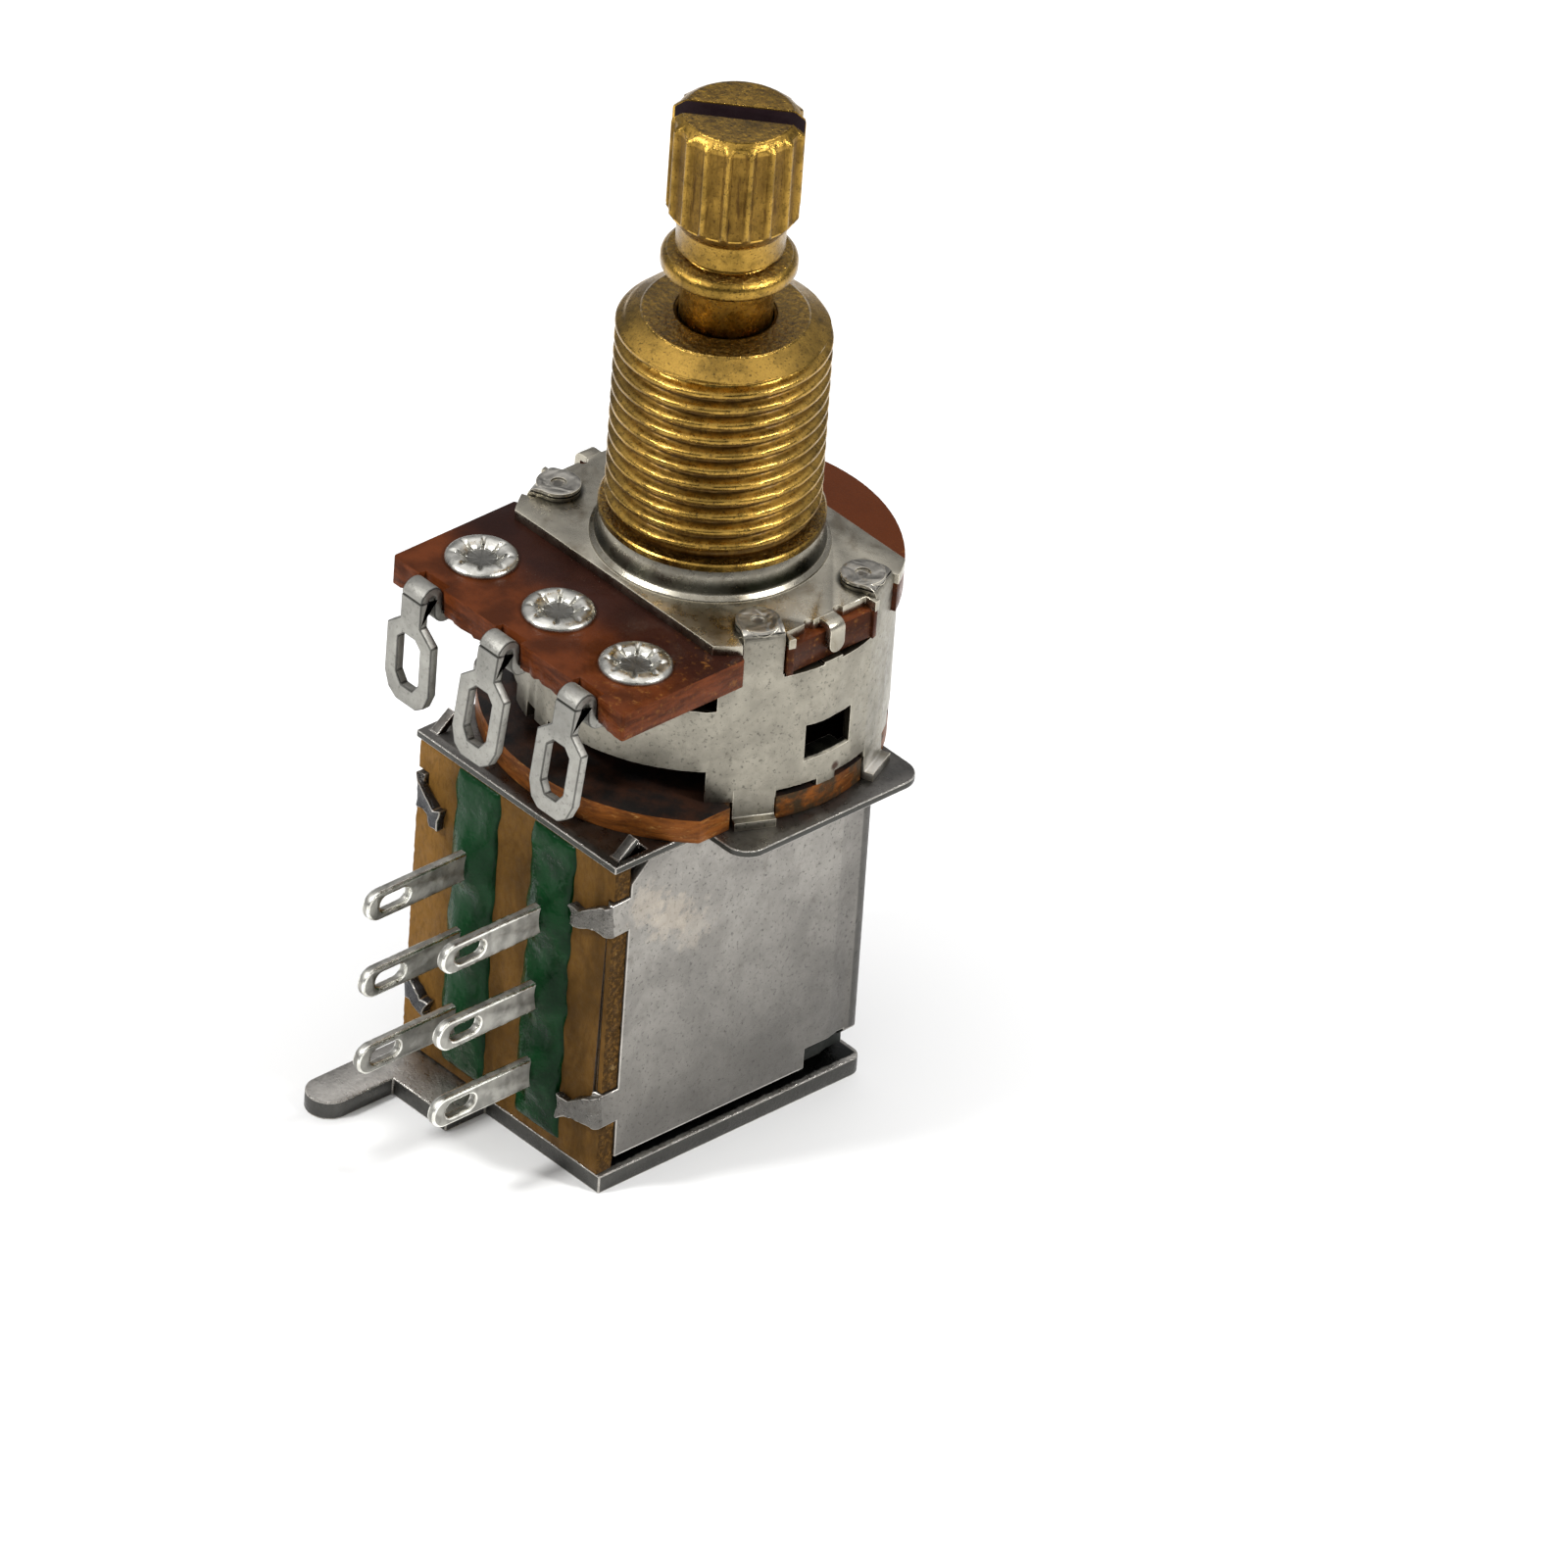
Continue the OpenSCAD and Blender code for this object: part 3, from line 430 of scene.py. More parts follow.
def aged_brass(
    name, base, worn=0.0, root=None, low=-9.0, high=99.0, grime=0.9, fine=0.016, oil=0.0, drawn=False
):
    """Turned brass gone brown, with dark pits. Dirt and painted shade darken what lies within the root
    radius, from the height low to the height high, all in millimetres. Drawn brass has dark upright
    streaks above low."""
    finish = Finish(name, base, metallic=1.0, coat=oil)
    finish.ground(finish.patches(0.38, 0.66, 0.55, 5.0, 0.6), 1.3 + 2.0 * worn, 0.7 + worn)
    finish.cover(finish.patches(0.50, 0.72, 1.7, 6.0, 0.7, 0.4) * (0.7 - worn), 0.28)
    rust = finish.facing("Z").step(0.93, 0.99) * finish.patches(0.36, 0.62, 2.8, 6.0, 0.75)
    finish.cover(rust * (0.6 - worn), (0.10, 0.058, 0.022))
    finish.cover(finish.cloud(9.0, 3.0, 0.6).fall(0.34, 0.42) * (0.75 - worn), (0.030, 0.017, 0.008))
    rough = finish.cloud(2.6, 5.0, 0.6).step(0.3, 0.7, 0.18 - 0.08 * worn, 0.36 - 0.16 * worn)
    if root is not None:
        height = finish.axis("Z")
        # Dirt and painted shade darken the thread's roots and the splines' grooves
        root_dirt_and_shade = finish.reach().fall(root, root + 0.26)
        root_dirt_and_shade = root_dirt_and_shade * height.step(low, low + 0.4) * height.fall(high, high + 0.1)
        patchy = finish.cloud(2.0, 5.0, 0.7, 0.0, (1.0, 1.0, 0.3)).step(0.3, 0.6, 0.55 * grime, grime)
        finish.cover(root_dirt_and_shade * patchy, (0.085, 0.042, 0.010))
        rough = rough + root_dirt_and_shade * 0.2
    if drawn:
        lines = finish.cloud(3.2, 5.0, 0.65, 0.3, (1.0, 1.0, 0.16))
        flank = finish.axis("Z").step(low, low + 0.4) * finish.facing("Z").fall(0.2, 0.6)
        finish.cover(lines.step(0.56, 0.66) * flank * 0.7, (0.06, 0.030, 0.010))
        finish.bump(lines * flank, 0.10)
    finish.bump(finish.cloud(14.0, 4.0, 0.6), fine)
    finish.bump(finish.cloud(2.2, 3.0, 0.5), 2.0 * fine, 0.7)
    finish.bump(finish.cloud(4.5, 4.0, 0.6) * finish.facing("Z").step(0.9, 0.98), 0.11)
    return finish.done(rough)


def plated_sheet(name, base, specks=0.4, dirt=0.4, rough=(0.25, 0.42), grain=0.008, more=None, marks=()):
    """Plated steel with specks, smudges and dirt. More adds layers of its own, and each mark is a spot,
    its radius, the raggedness of its rim, its share and its colour."""
    finish = Finish(name, base, metallic=1.0)
    finish.ground(finish.patches(0.36, 0.66, 0.30, 5.0, 0.6, 0.5), 1.12, 0.82)
    finish.cover(finish.patches(0.42, 0.66, 1.5, 6.0, 0.7, 0.3) * (0.5 * dirt), 0.55)
    finish.cover(finish.patches(0.56, 0.66, 5.0, 4.0, 0.7) * specks, 0.35)
    fleck = finish.cells(2.3).fall(0.04, 0.17) * finish.patches(0.42, 0.62, 0.7, 3.0, 0.6)
    finish.cover(fleck * (0.9 * specks), 0.22)
    brown = tint(shade(base, 0.45), (0.10, 0.07, 0.045), 0.4)
    finish.cover(finish.patches(0.54, 0.76, 0.8, 7.0, 0.7, 0.8) * dirt, brown)
    if more is not None:
        more(finish)
    for spot, radius, ragged, share, mark in marks:
        finish.cover(finish.near(spot, radius, ragged) * share, mark)
    finish.bump(finish.cloud(16.0, 3.0, 0.6), grain)
    finish.bump(finish.cloud(1.3, 2.0, 0.5), 0.04, 0.6)
    return finish.matt(*rough, 1.9, 5.0, 0.65)


def ear_heads(finish):
    """Hammered heads of the can's ears, paler than the can, with a dark dimple painted in the middle as shade.
    """
    over = finish.axis("Z").step(EAR_LEVEL, EAR_LEVEL + 0.1)
    far = finish.button(EAR_X, EAR_Y)
    finish.cover(over * 0.75, (0.33, 0.315, 0.285))
    dimple_shade = (far + finish.cloud(2.4) * 0.5).fall(0.46, 0.56) * over
    finish.cover(dimple_shade * 0.7, (0.06, 0.055, 0.05))
    finish.bump(finish.cloud(0.85, 2.0, 0.5, 0.6) * over, 0.3)
    finish.bump(far.step(0.55, 0.9, 0.55, 1.0) * over, 0.12)


def housing_shade_and_highlight(finish):
    """Painted shade darkens the housing towards its foot and along its side and rear folds, and a painted
    highlight runs along its lower rim.
    """
    height, depth = finish.axis("Z"), finish.axis("Y")
    # Painted shade: darker towards the foot
    finish.cover(height.step(DARK_BELOW, BRIGHT_ABOVE, 0.55, 0.0), 0.3)
    # Painted shade along the side and rear folds
    for fold, share, mark in ((SIDE_FOLD, 0.25, (0.09, 0.085, 0.08)), (REAR_FOLD, 0.6, (0.05, 0.05, 0.048))):
        finish.cover(depth.step(fold - 0.12, fold) * share, mark)
    # A painted highlight along the lower rim
    rim_highlight = height.step(LOWER_RIM, LOWER_RIM + 0.05, 0.9, 0.0) * depth.fall(1.4, 1.6)
    finish.cover(rim_highlight * finish.cloud(1.2, 4.0, 0.6).step(0.36, 0.5, 0.3, 1.0), (0.85, 0.82, 0.78))


def dark_flanks(finish, mark=(0.05, 0.05, 0.045)):
    """Upright cut edges, darker than the sheet."""
    finish.cover(abs(finish.facing("Z")).step(0.2, 0.5, 0.9, 0.0), mark)


def face_sheet(name, base):
    """Satin plate with soft brown patches painted as reflections of the brass, a dark band painted up the
    boss as a reflection, and a painted shadow round each ear.
    """
    finish = Finish(name, base, metallic=1.0)
    finish.ground(finish.patches(0.38, 0.64, 0.26, 4.0, 0.55, 0.6), 1.1, 0.78)
    # Soft brown patches: painted reflections of the brass
    finish.cover(finish.patches(0.50, 0.72, 0.55, 4.0, 0.6, 0.4) * 0.6, (0.13, 0.095, 0.055))
    finish.cover(finish.patches(0.60, 0.68, 7.0, 4.0, 0.7) * 0.4, 0.4)
    height = finish.axis("Z")
    # A dark band painted up the flank of the boss as a reflection
    flank = height.step(BOSS_FOOT, BOSS_FOOT + 0.2) * height.fall(BOSS_TOP, BOSS_TOP + 0.14)
    flank = flank * finish.reach().step(BOSS_REACH, BOSS_REACH + 0.1)
    finish.cover(flank * finish.cloud(0.3, 2.0, 0.5).step(0.35, 0.6, 0.75, 1.0), (0.022, 0.024, 0.014))
    # A dark ring painted round each ear as its shadow
    painted_ear_shadow = finish.button(EAR_X, EAR_Y).step(1.02, 1.28, 0.9, 0.0) * finish.facing("Z").step(0.5, 0.8)
    finish.cover(painted_ear_shadow, (0.03, 0.03, 0.024))
    # A brown reflection of the brass, painted near the plate's front right corner
    finish.cover(finish.near(PLATE_CORNER, 1.9, 1.2) * 0.6, (0.12, 0.10, 0.06))
    finish.bump(finish.cloud(15.0, 3.0, 0.6), 0.007)
    finish.bump(finish.cloud(0.9, 2.0, 0.5), 0.04, 0.5)
    return finish.matt(0.22, 0.36, 1.6, 5.0, 0.6)


def lip_highlight_and_shade(name, base):
    """Lower face of the can's window: a thin painted highlight along its outer rim, and painted shade,
    near black, further in.
    """
    finish = Finish(name, base, metallic=1.0)
    ragged = finish.reach() + finish.cloud(3.0, 4.0, 0.6) * 0.14
    finish.ground(ragged.step(WINDOW_RIM, WINDOW_RIM + 0.08), (0.02, 0.02, 0.015), base)
    finish.bump(finish.cloud(4.0, 4.0, 0.7), 0.05)
    return finish.matt(0.4, 0.7, 2.0)


def foot_sheet(name, base):
    """Bright tongue and rims, dark cut edges, and black where no light gets in under the box."""
    finish = Finish(name, base, metallic=1.0)
    finish.ground(finish.patches(0.36, 0.66, 0.6, 5.0, 0.6, 0.5), 1.1, 0.8)
    finish.cover(finish.patches(0.54, 0.64, 4.0, 4.0, 0.7) * 0.4, 0.35)
    depth = finish.axis("Y")
    inward = (abs(finish.axis("X")) + finish.cloud(2.5, 4.0, 0.6) * 0.3).fall(BOX_SIDE, BOX_SIDE + 0.12)
    between = depth.step(BOX_FRONT - 0.1, BOX_FRONT + 0.1) * depth.fall(BOX_BACK - 0.05, BOX_BACK + 0.05)
    finish.cover(inward * between, (0.012, 0.013, 0.012))
    dark_flanks(finish, (0.055, 0.055, 0.052))
    finish.bump(finish.cloud(6.0, 4.0, 0.7), 0.03)
    return finish.matt(0.25, 0.42, 1.9, 5.0, 0.65)


def tinned_metal(name, base, rough=(0.18, 0.35), dirt=0.25):
    """Hot-tinned metal: soft waves and a few dark stains."""
    finish = Finish(name, base, metallic=1.0)
    finish.ground(finish.patches(0.35, 0.65, 1.4, 3.0, 0.5, 0.3), 1.15, 0.7)
    finish.cover(finish.patches(0.55, 0.75, 3.1, 6.0, 0.7) * dirt, 0.3)
    finish.bump(finish.cloud(2.4, 2.0, 0.5), 0.03, 0.8)
    finish.bump(finish.cloud(13.0, 3.0, 0.6), 0.006)
    return finish.matt(*rough, 2.2, 4.0, 0.6)


def glossy_wafer(name, base):
    """Red-brown laminate with painted shade, near black, beside the face plate and between the right ears,
    with tan flecks in its front right corner."""
    finish = Finish(name, base, specular=0.06)
    width, depth = finish.axis("X"), finish.axis("Y")
    finish.ground(finish.patches(0.36, 0.66, 0.6, 4.0, 0.55), 0.9, 0.45)
    shaded = (depth + finish.cloud(0.5, 3.0) * 1.6).step(-8.6, -6.2) * depth.step(-3.5, -0.5, 0.85, 0.0)
    finish.cover(shaded, (0.016, 0.006, 0.005))
    finish.cover(depth.step(-2.0, 1.0, 0.0, 0.8), 0.95)
    streak = finish.patches(0.35, 0.68, 1.1, 6.0, 0.7, 0.2, (0.6, 0.6, 3.0))
    # Painted shade, near black, on the edge between the right ears
    between = width.step(6.6, 7.4) * depth.step(-4.5, -3.6)
    edge = finish.blend(between * 0.75, finish.blend(streak, 1.35, 0.5), (0.03, 0.010, 0.005))
    finish.ground(finish.facing("Z").step(0.4, 0.9), edge, finish.colour)
    corner = width.step(3.4, 6.6) * finish.patches(0.54, 0.68, 2.6, 7.0, 0.75)
    finish.cover(corner * 0.55, (0.27, 0.11, 0.025))
    finish.bump(finish.cloud(3.0, 5.0, 0.6), 0.03, 0.7)
    return finish.matt(0.20, 0.40, 2.3, 5.0, 0.65)


def red_disc(name, base):
    """Orange-brown laminate with fibrous tan streaks on its cut edge, soot on its right, and painted shade
    over its top face.
    """
    finish = Finish(name, base, specular=0.1)
    up = finish.facing("Z").step(0.4, 0.9)
    layers = finish.cloud(0.8, 6.0, 0.7, 0.5, (0.6, 0.6, 2.2))
    fibre = finish.patches(0.55, 0.68, 2.2, 7.0, 0.8, 0.8, (0.5, 0.5, 2.0))
    soot = finish.patches(0.44, 0.56, 0.55, 5.0, 0.65) * finish.axis("Y").step(-5.2, -4.2)
    finish.ground(layers.step(0.32, 0.66), 1.25, 0.4)
    finish.cover(fibre * 0.7, (0.50, 0.27, 0.08))
    finish.cover(soot * 0.85, (0.030, 0.026, 0.014))
    drift = finish.patches(0.35, 0.65, 0.8, 4.0, 0.6)
    # The top face takes painted shade, near black
    finish.cover(up, finish.blend(drift, (0.035, 0.016, 0.010), (0.012, 0.010, 0.009)))
    finish.bump(layers, 0.09, 0.9)
    finish.bump(finish.cloud(7.0, 4.0, 0.7), 0.02)
    return finish.done(up.step(0.0, 1.0, 0.42, 0.2))


def tan_board(name, base):
    """Tan laminate with dirt, fine weave and frayed edges, paler on its left."""
    finish = Finish(name, base, specular=0.06)
    finish.ground(finish.patches(0.36, 0.68, 0.5, 6.0, 0.65, 0.6, (1.0, 1.0, 0.4)), 1.0, 0.5)
    finish.cover(finish.axis("X").step(-5.6, -3.6, 0.7, 0.0), 1.75)
    finish.cover(finish.patches(0.44, 0.66, 5.0, 5.0, 0.7, 0.0, (1.0, 1.0, 0.35)) * 0.45, 0.45)
    edge = finish.blend(finish.patches(0.44, 0.66, 4.5, 6.0, 0.8), 0.3, 1.1)
    flake = finish.patches(0.60, 0.68, 1.6, 6.0, 0.75)
    edge = finish.blend(flake * 0.7, edge, (0.34, 0.22, 0.09))
    finish.cover(finish.facing("Y").step(-0.85, -0.45), edge)
    finish.bump(finish.cloud(6.0, 5.0, 0.75), 0.04)
    return finish.matt(0.42, 0.7, 2.0, 4.0, 0.6)


def green_lacquer(name, base):
    """Thick glossy lacquer, darker and lighter in soft patches, and a paler, bluish green on the left."""
    finish = Finish(name, base, specular=0.1)
    finish.ground(finish.patches(0.35, 0.66, 0.7, 4.0, 0.6, 0.4), 0.6, 1.1)
    finish.cover(finish.axis("X").fall(-3.4, 0.0) * 0.7, (0.009, 0.044, 0.016))
    dust = finish.patches(0.60, 0.72, 4.0, 6.0, 0.8)
    finish.cover(dust * 0.15, (0.12, 0.15, 0.09))
    finish.bump(finish.cloud(1.6, 3.0, 0.55), 0.09)
    finish.bump(finish.cloud(8.0, 3.0, 0.6), 0.010)
    return finish.matt(0.10, 0.24, 3.0, 4.0, 0.6)


def moulding(name, base, rough=(0.38, 0.55), foot=None):
    """Moulded plastic with fine spark-erosion grain, near black below the height foot as painted shade."""
    finish = Finish(name, base, specular=0.2)
    finish.ground(finish.patches(0.35, 0.65, 0.5, 4.0, 0.6), 1.1, 0.85)
    # Painted shade: near black below the foot, deep inside the switch
    if foot is not None:
        ragged = finish.axis("Z") + finish.cloud(0.8, 4.0, 0.6) * 0.6
        finish.cover(ragged.fall(foot, foot + 0.5), (0.012, 0.014, 0.012))
    finish.bump(finish.cloud(12.0, 3.0, 0.6), 0.01)
    return finish.matt(*rough, 3.0, 4.0, 0.6)


def carbon_film(name, base):
    """Printed carbon film, matt with a faint grain."""
    finish = Finish(name, base, specular=0.3)
    grain = finish.patches(0.35, 0.65, 10.0, 4.0, 0.7)
    finish.ground(grain, (0.02, 0.02, 0.02), base)
    finish.bump(finish.cloud(18.0, 3.0, 0.6), 0.006)
    return finish.done(grain.step(0.0, 1.0, 0.5, 0.7))


# Marks on the can: a red pit, and painted highlights on the wall under the wafer and on the bend of
# the rear foot
CAN_PIT_AND_HIGHLIGHTS = (
    ((8.31, 0.51, -9.58), 0.3, 0.12, 0.9, (0.05, 0.018, 0.01)),
    ((2.4, -8.0, -4.3), 2.2, 0.5, 0.7, (0.62, 0.57, 0.50)),
    ((-1.6, -8.2, -4.3), 2.2, 0.5, 0.6, (0.62, 0.57, 0.50)),
    ((7.8, 3.3, -11.1), 1.0, 0.3, 0.8, (0.75, 0.72, 0.66)),
)

# Darker, bluish grey over the left clamps
CLAMP_MARKS = (((-5.5, -10.8, -20.0), 11.0, 0.5, 0.75, (0.03, 0.034, 0.045)),)

# Warm painted highlight high on the right of the housing
HOUSING_HIGHLIGHT = (
    ((6.6, -8.4, -14.2), 1.3, 2.4, 0.24, (0.66, 0.56, 0.44)),
    ((6.6, -7.0, -15.4), 1.4, 2.4, 0.26, (0.66, 0.56, 0.44)),
    ((6.6, -5.6, -16.5), 1.3, 2.4, 0.20, (0.60, 0.52, 0.42)),
)

# Each finish: what makes it, the chosen colour and how much lighter or darker it is, and more
FINISHES = {
    "brass": (aged_brass, "brass", 1.0, {}),
    "brass_thread": (aged_brass, "brass", 1.0, dict(root=4.3625, high=8.65, fine=0.008, oil=0.12)),
    "brass_splines": (aged_brass, "brass", 1.0, dict(root=2.78, low=14.9, high=19.7, grime=0.6, drawn=True)),
    # brass_edge, nickel_edge, can_edge, steel_edge, plate_edge and tin_edge are lighter than their sheets:
    # wear, and a painted highlight along the rounded edge
    "brass_edge": (aged_brass, "brass", 1.0, dict(worn=0.3)),
    "nickel": (face_sheet, "nickel", 1.0, {}),
    "nickel_edge": (plated_sheet, "nickel", 1.5, dict(specks=0.1, dirt=0.1, rough=(0.2, 0.3))),
    "can": (plated_sheet, "can", 0.86, dict(
        specks=0.75, dirt=0.55, rough=(0.32, 0.48), grain=0.012, more=ear_heads, marks=CAN_PIT_AND_HIGHLIGHTS)),
    "can_cut": (plated_sheet, "cut", 1.0, dict(specks=0.2, dirt=0.2, rough=(0.4, 0.5))),
    "can_lip": (lip_highlight_and_shade, "can", 2.2, {}),
    "can_edge": (plated_sheet, "can", 1.9, dict(specks=0.2, dirt=0.1, rough=(0.25, 0.4))),
    "steel": (plated_sheet, "steel", 1.0, dict(
        specks=0.85, dirt=0.5, rough=(0.3, 0.46), grain=0.012, more=housing_shade_and_highlight, marks=HOUSING_HIGHLIGHT)),
    "clamp": (plated_sheet, "steel", 0.62, dict(
        specks=0.9, dirt=0.9, rough=(0.2, 0.42), grain=0.06, marks=CLAMP_MARKS)),
    "steel_edge": (plated_sheet, "steel", 1.5, dict(specks=0.2, dirt=0.2, rough=(0.25, 0.4))),
    "plate": (plated_sheet, "steel", 0.5, dict(
        specks=0.5, dirt=0.7, rough=(0.25, 0.4), grain=0.01, more=dark_flanks)),
    "foot_plate": (foot_sheet, "steel", 1.35, {}),
    "plate_edge": (plated_sheet, "steel", 1.7, dict(specks=0.8, dirt=0.9, rough=(0.2, 0.35), grain=0.04)),
    "lug": (plated_sheet, "tin", 0.82, dict(specks=0.5, dirt=0.35, rough=(0.42, 0.6), grain=0.02)),
    "lug_edge": (plated_sheet, "tin", 0.3, dict(specks=0.4, dirt=0.3, rough=(0.35, 0.5))),
    "blade": (tinned_metal, "tin", 0.78, dict(rough=(0.36, 0.5), dirt=0.06)),
    "tin": (tinned_metal, "tin", 1.25, dict(rough=(0.22, 0.38))),
    "tin_edge": (tinned_metal, "tin", 2.0, dict(rough=(0.15, 0.3), dirt=0.05)),
    "well": (plated_sheet, "tin", 0.36, dict(rough=(0.4, 0.55))),
    "slot_grime": (moulding, "grime", 1.0, dict(rough=(0.5, 0.7))),
    "wafer": (glossy_wafer, "wafer", 1.0, {}),
    "disc": (red_disc, "disc", 1.0, {}),
    "board": (tan_board, "board", 1.0, {}),
    "lacquer": (green_lacquer, "lacquer", 1.0, {}),
    "carbon": (carbon_film, "carbon", 1.0, {}),
    "black_moulding": (moulding, "rotor", 1.0, {}),
    "white_moulding": (moulding, "slider", 1.0, dict(foot=-25.2)),
}


def finish_of(name):
    """The material of that name, made when it is first asked for."""
    own = name + "_finish"
    recipe, chosen, factor, more = FINISHES[name]
    base = shade(getattr(settings().colours, chosen), factor)
    return bpy.data.materials.get(own) or recipe(own, base, **more)


# ---------------------------------------------------------------- mesh tools


def link_object(name, mesh):
    """A new object at the origin with that mesh, or a camera or lamp with that data."""
    made = bpy.data.objects.new(name, mesh)
    bpy.context.scene.collection.objects.link(made)
    return made


def settle(piece):
    """Turns the piece's modifiers into plain mesh."""
    deps = bpy.context.evaluated_depsgraph_get()
    mesh = bpy.data.meshes.new_from_object(piece.evaluated_get(deps))
    piece.modifiers.clear()
    piece.data = mesh
    mesh.name = piece.name


def edit(piece, change):
    """Runs one change on the piece's mesh."""
    work = bmesh.new()
    work.from_mesh(piece.data)
    change(work)
    work.normal_update()
    work.to_mesh(piece.data)
    work.free()
    piece.data.update()


def smooth(piece, degrees=35.0, flat=False):
    """Smooth shading with creases at sharp edges. With flat, only curved walls and rounded edges are smooth."""
    limit = math.radians(degrees)
    least, bend = math.radians(0.5), math.radians(24.0)
    rounded = len(piece.data.materials) - 1

    def curved(face):
        if rounded and face.material_index == rounded:
            return True
        shared = [e for e in face.edges if len(e.link_faces) == 2 and e.calc_length() > 0.02 * MM]
        return any(least < e.calc_face_angle(0.0) < bend for e in shared)

    def crease(work):
        for face in work.faces:
            face.smooth = curved(face) if flat else True
        for edge in work.edges:
            edge.smooth = len(edge.link_faces) == 2 and edge.calc_face_angle(0.0) < limit

    edit(piece, crease)


def weld(work, distance=0.004 * MM):
    """Joins loose triangles and turns flat areas into single faces."""
    bmesh.ops.remove_doubles(work, verts=work.verts, dist=distance)
    bmesh.ops.dissolve_degenerate(work, edges=work.edges, dist=distance)
    bmesh.ops.dissolve_limit(work, angle_limit=math.radians(0.8), verts=work.verts, edges=work.edges)


def round_edges(piece, width, segments=2, degrees=28.0):
    """Rounds the sharp edges and gives them the last material. Points that stray further than 0.8 of the
    width from the old surface are put back on it.
    """
    mesh = piece.data
    old = BVHTree.FromPolygons([v.co for v in mesh.vertices], [p.vertices[:] for p in mesh.polygons])
    bevel = piece.modifiers.new("edges", "BEVEL")
    bevel.width = width
    bevel.segments = segments
    bevel.limit_method = "ANGLE"
    bevel.angle_limit = math.radians(degrees)
    bevel.use_clamp_overlap = False
    bevel.loop_slide = False
    bevel.material = len(piece.data.materials) - 1
    settle(piece)
    for vert in piece.data.vertices:
        near, _, _, gap = old.find_nearest(vert.co)
        if gap > 0.8 * width:
            vert.co = near


def wear(piece, looks):
    """Gives the piece those finishes, and no other."""
    piece.data.materials.clear()
    for name in looks:
        piece.data.materials.append(finish_of(name))


def dress(piece, node):
    """The piece stands for a node, which is hidden, and rides on its body."""
    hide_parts(node)
    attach(piece, frame["nodes"][node]["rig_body"])


def refined(node, looks, width, change=None):
    """A node's welded copy with rounded edges, which take the last look: wear, and on most sheets and the
    blades a lighter tone, painted as the highlight along the edge.
    """
    made = link_object(node + "_piece", frame["nodes"][node].data.copy())
    made.data.materials.clear()
    edit(made, weld)
    wear(made, looks)
    if change is not None:
        edit(made, change)
    round_edges(made, width)
    smooth(made, flat=True)
    dress(made, node)


def profile(*rows):
    """An outline in metres from rows of radius in millimetres, level in metres and millimetres over it."""
    return [(radius * MM, level + rise * MM) for radius, level, rise in rows]


def lathe(name, outline, segments):
    """Turns an outline of radius and height pairs round the Z axis; ends on the axis are closed."""
    work = bmesh.new()
    rings = []
    for radius, height in outline:
        if radius < 1e-9:
            rings.append([work.verts.new((0.0, 0.0, height))])
            continue
        turns = [2.0 * math.pi * k / segments for k in range(segments)]
        rings.append([work.verts.new((radius * math.cos(a), radius * math.sin(a), height)) for a in turns])
    for low, high in zip(rings, rings[1:]):
        for k in range(segments):
            n = (k + 1) % segments
            if len(low) == 1:
                work.faces.new((low[0], high[n], high[k]))
            elif len(high) == 1:
                work.faces.new((low[k], low[n], high[0]))
            else:
                work.faces.new((low[k], low[n], high[n], high[k]))
    mesh = bpy.data.meshes.new(name)
    work.to_mesh(mesh)
    work.free()
    return link_object(name, mesh)


def lattice(work, region, axis, step, low, high):
    """Cuts the faces of a region into strips along an axis, in the same order each run."""
    place = low
    normal = Vector([1.0 if k == axis else 0.0 for k in range(3)])
    while place < high:
        faces = [f for f in work.faces if region(f.calc_center_median())]
        parts = [part for f in faces for part in (*f.verts, *f.edges)]
        geometry = list(dict.fromkeys(parts)) + faces
        bmesh.ops.bisect_plane(work, geom=geometry, dist=1e-7, plane_co=normal * place, plane_no=normal)
        place += step


def ripple(place, scale, seed):
    """A smooth random vector for a place; scale is in features a millimetre."""
    return noise.noise_vector(place * (scale / MM) + Vector((seed, 7.1 * seed, -3.3 * seed)))


# ---------------------------------------------------------------- node trees


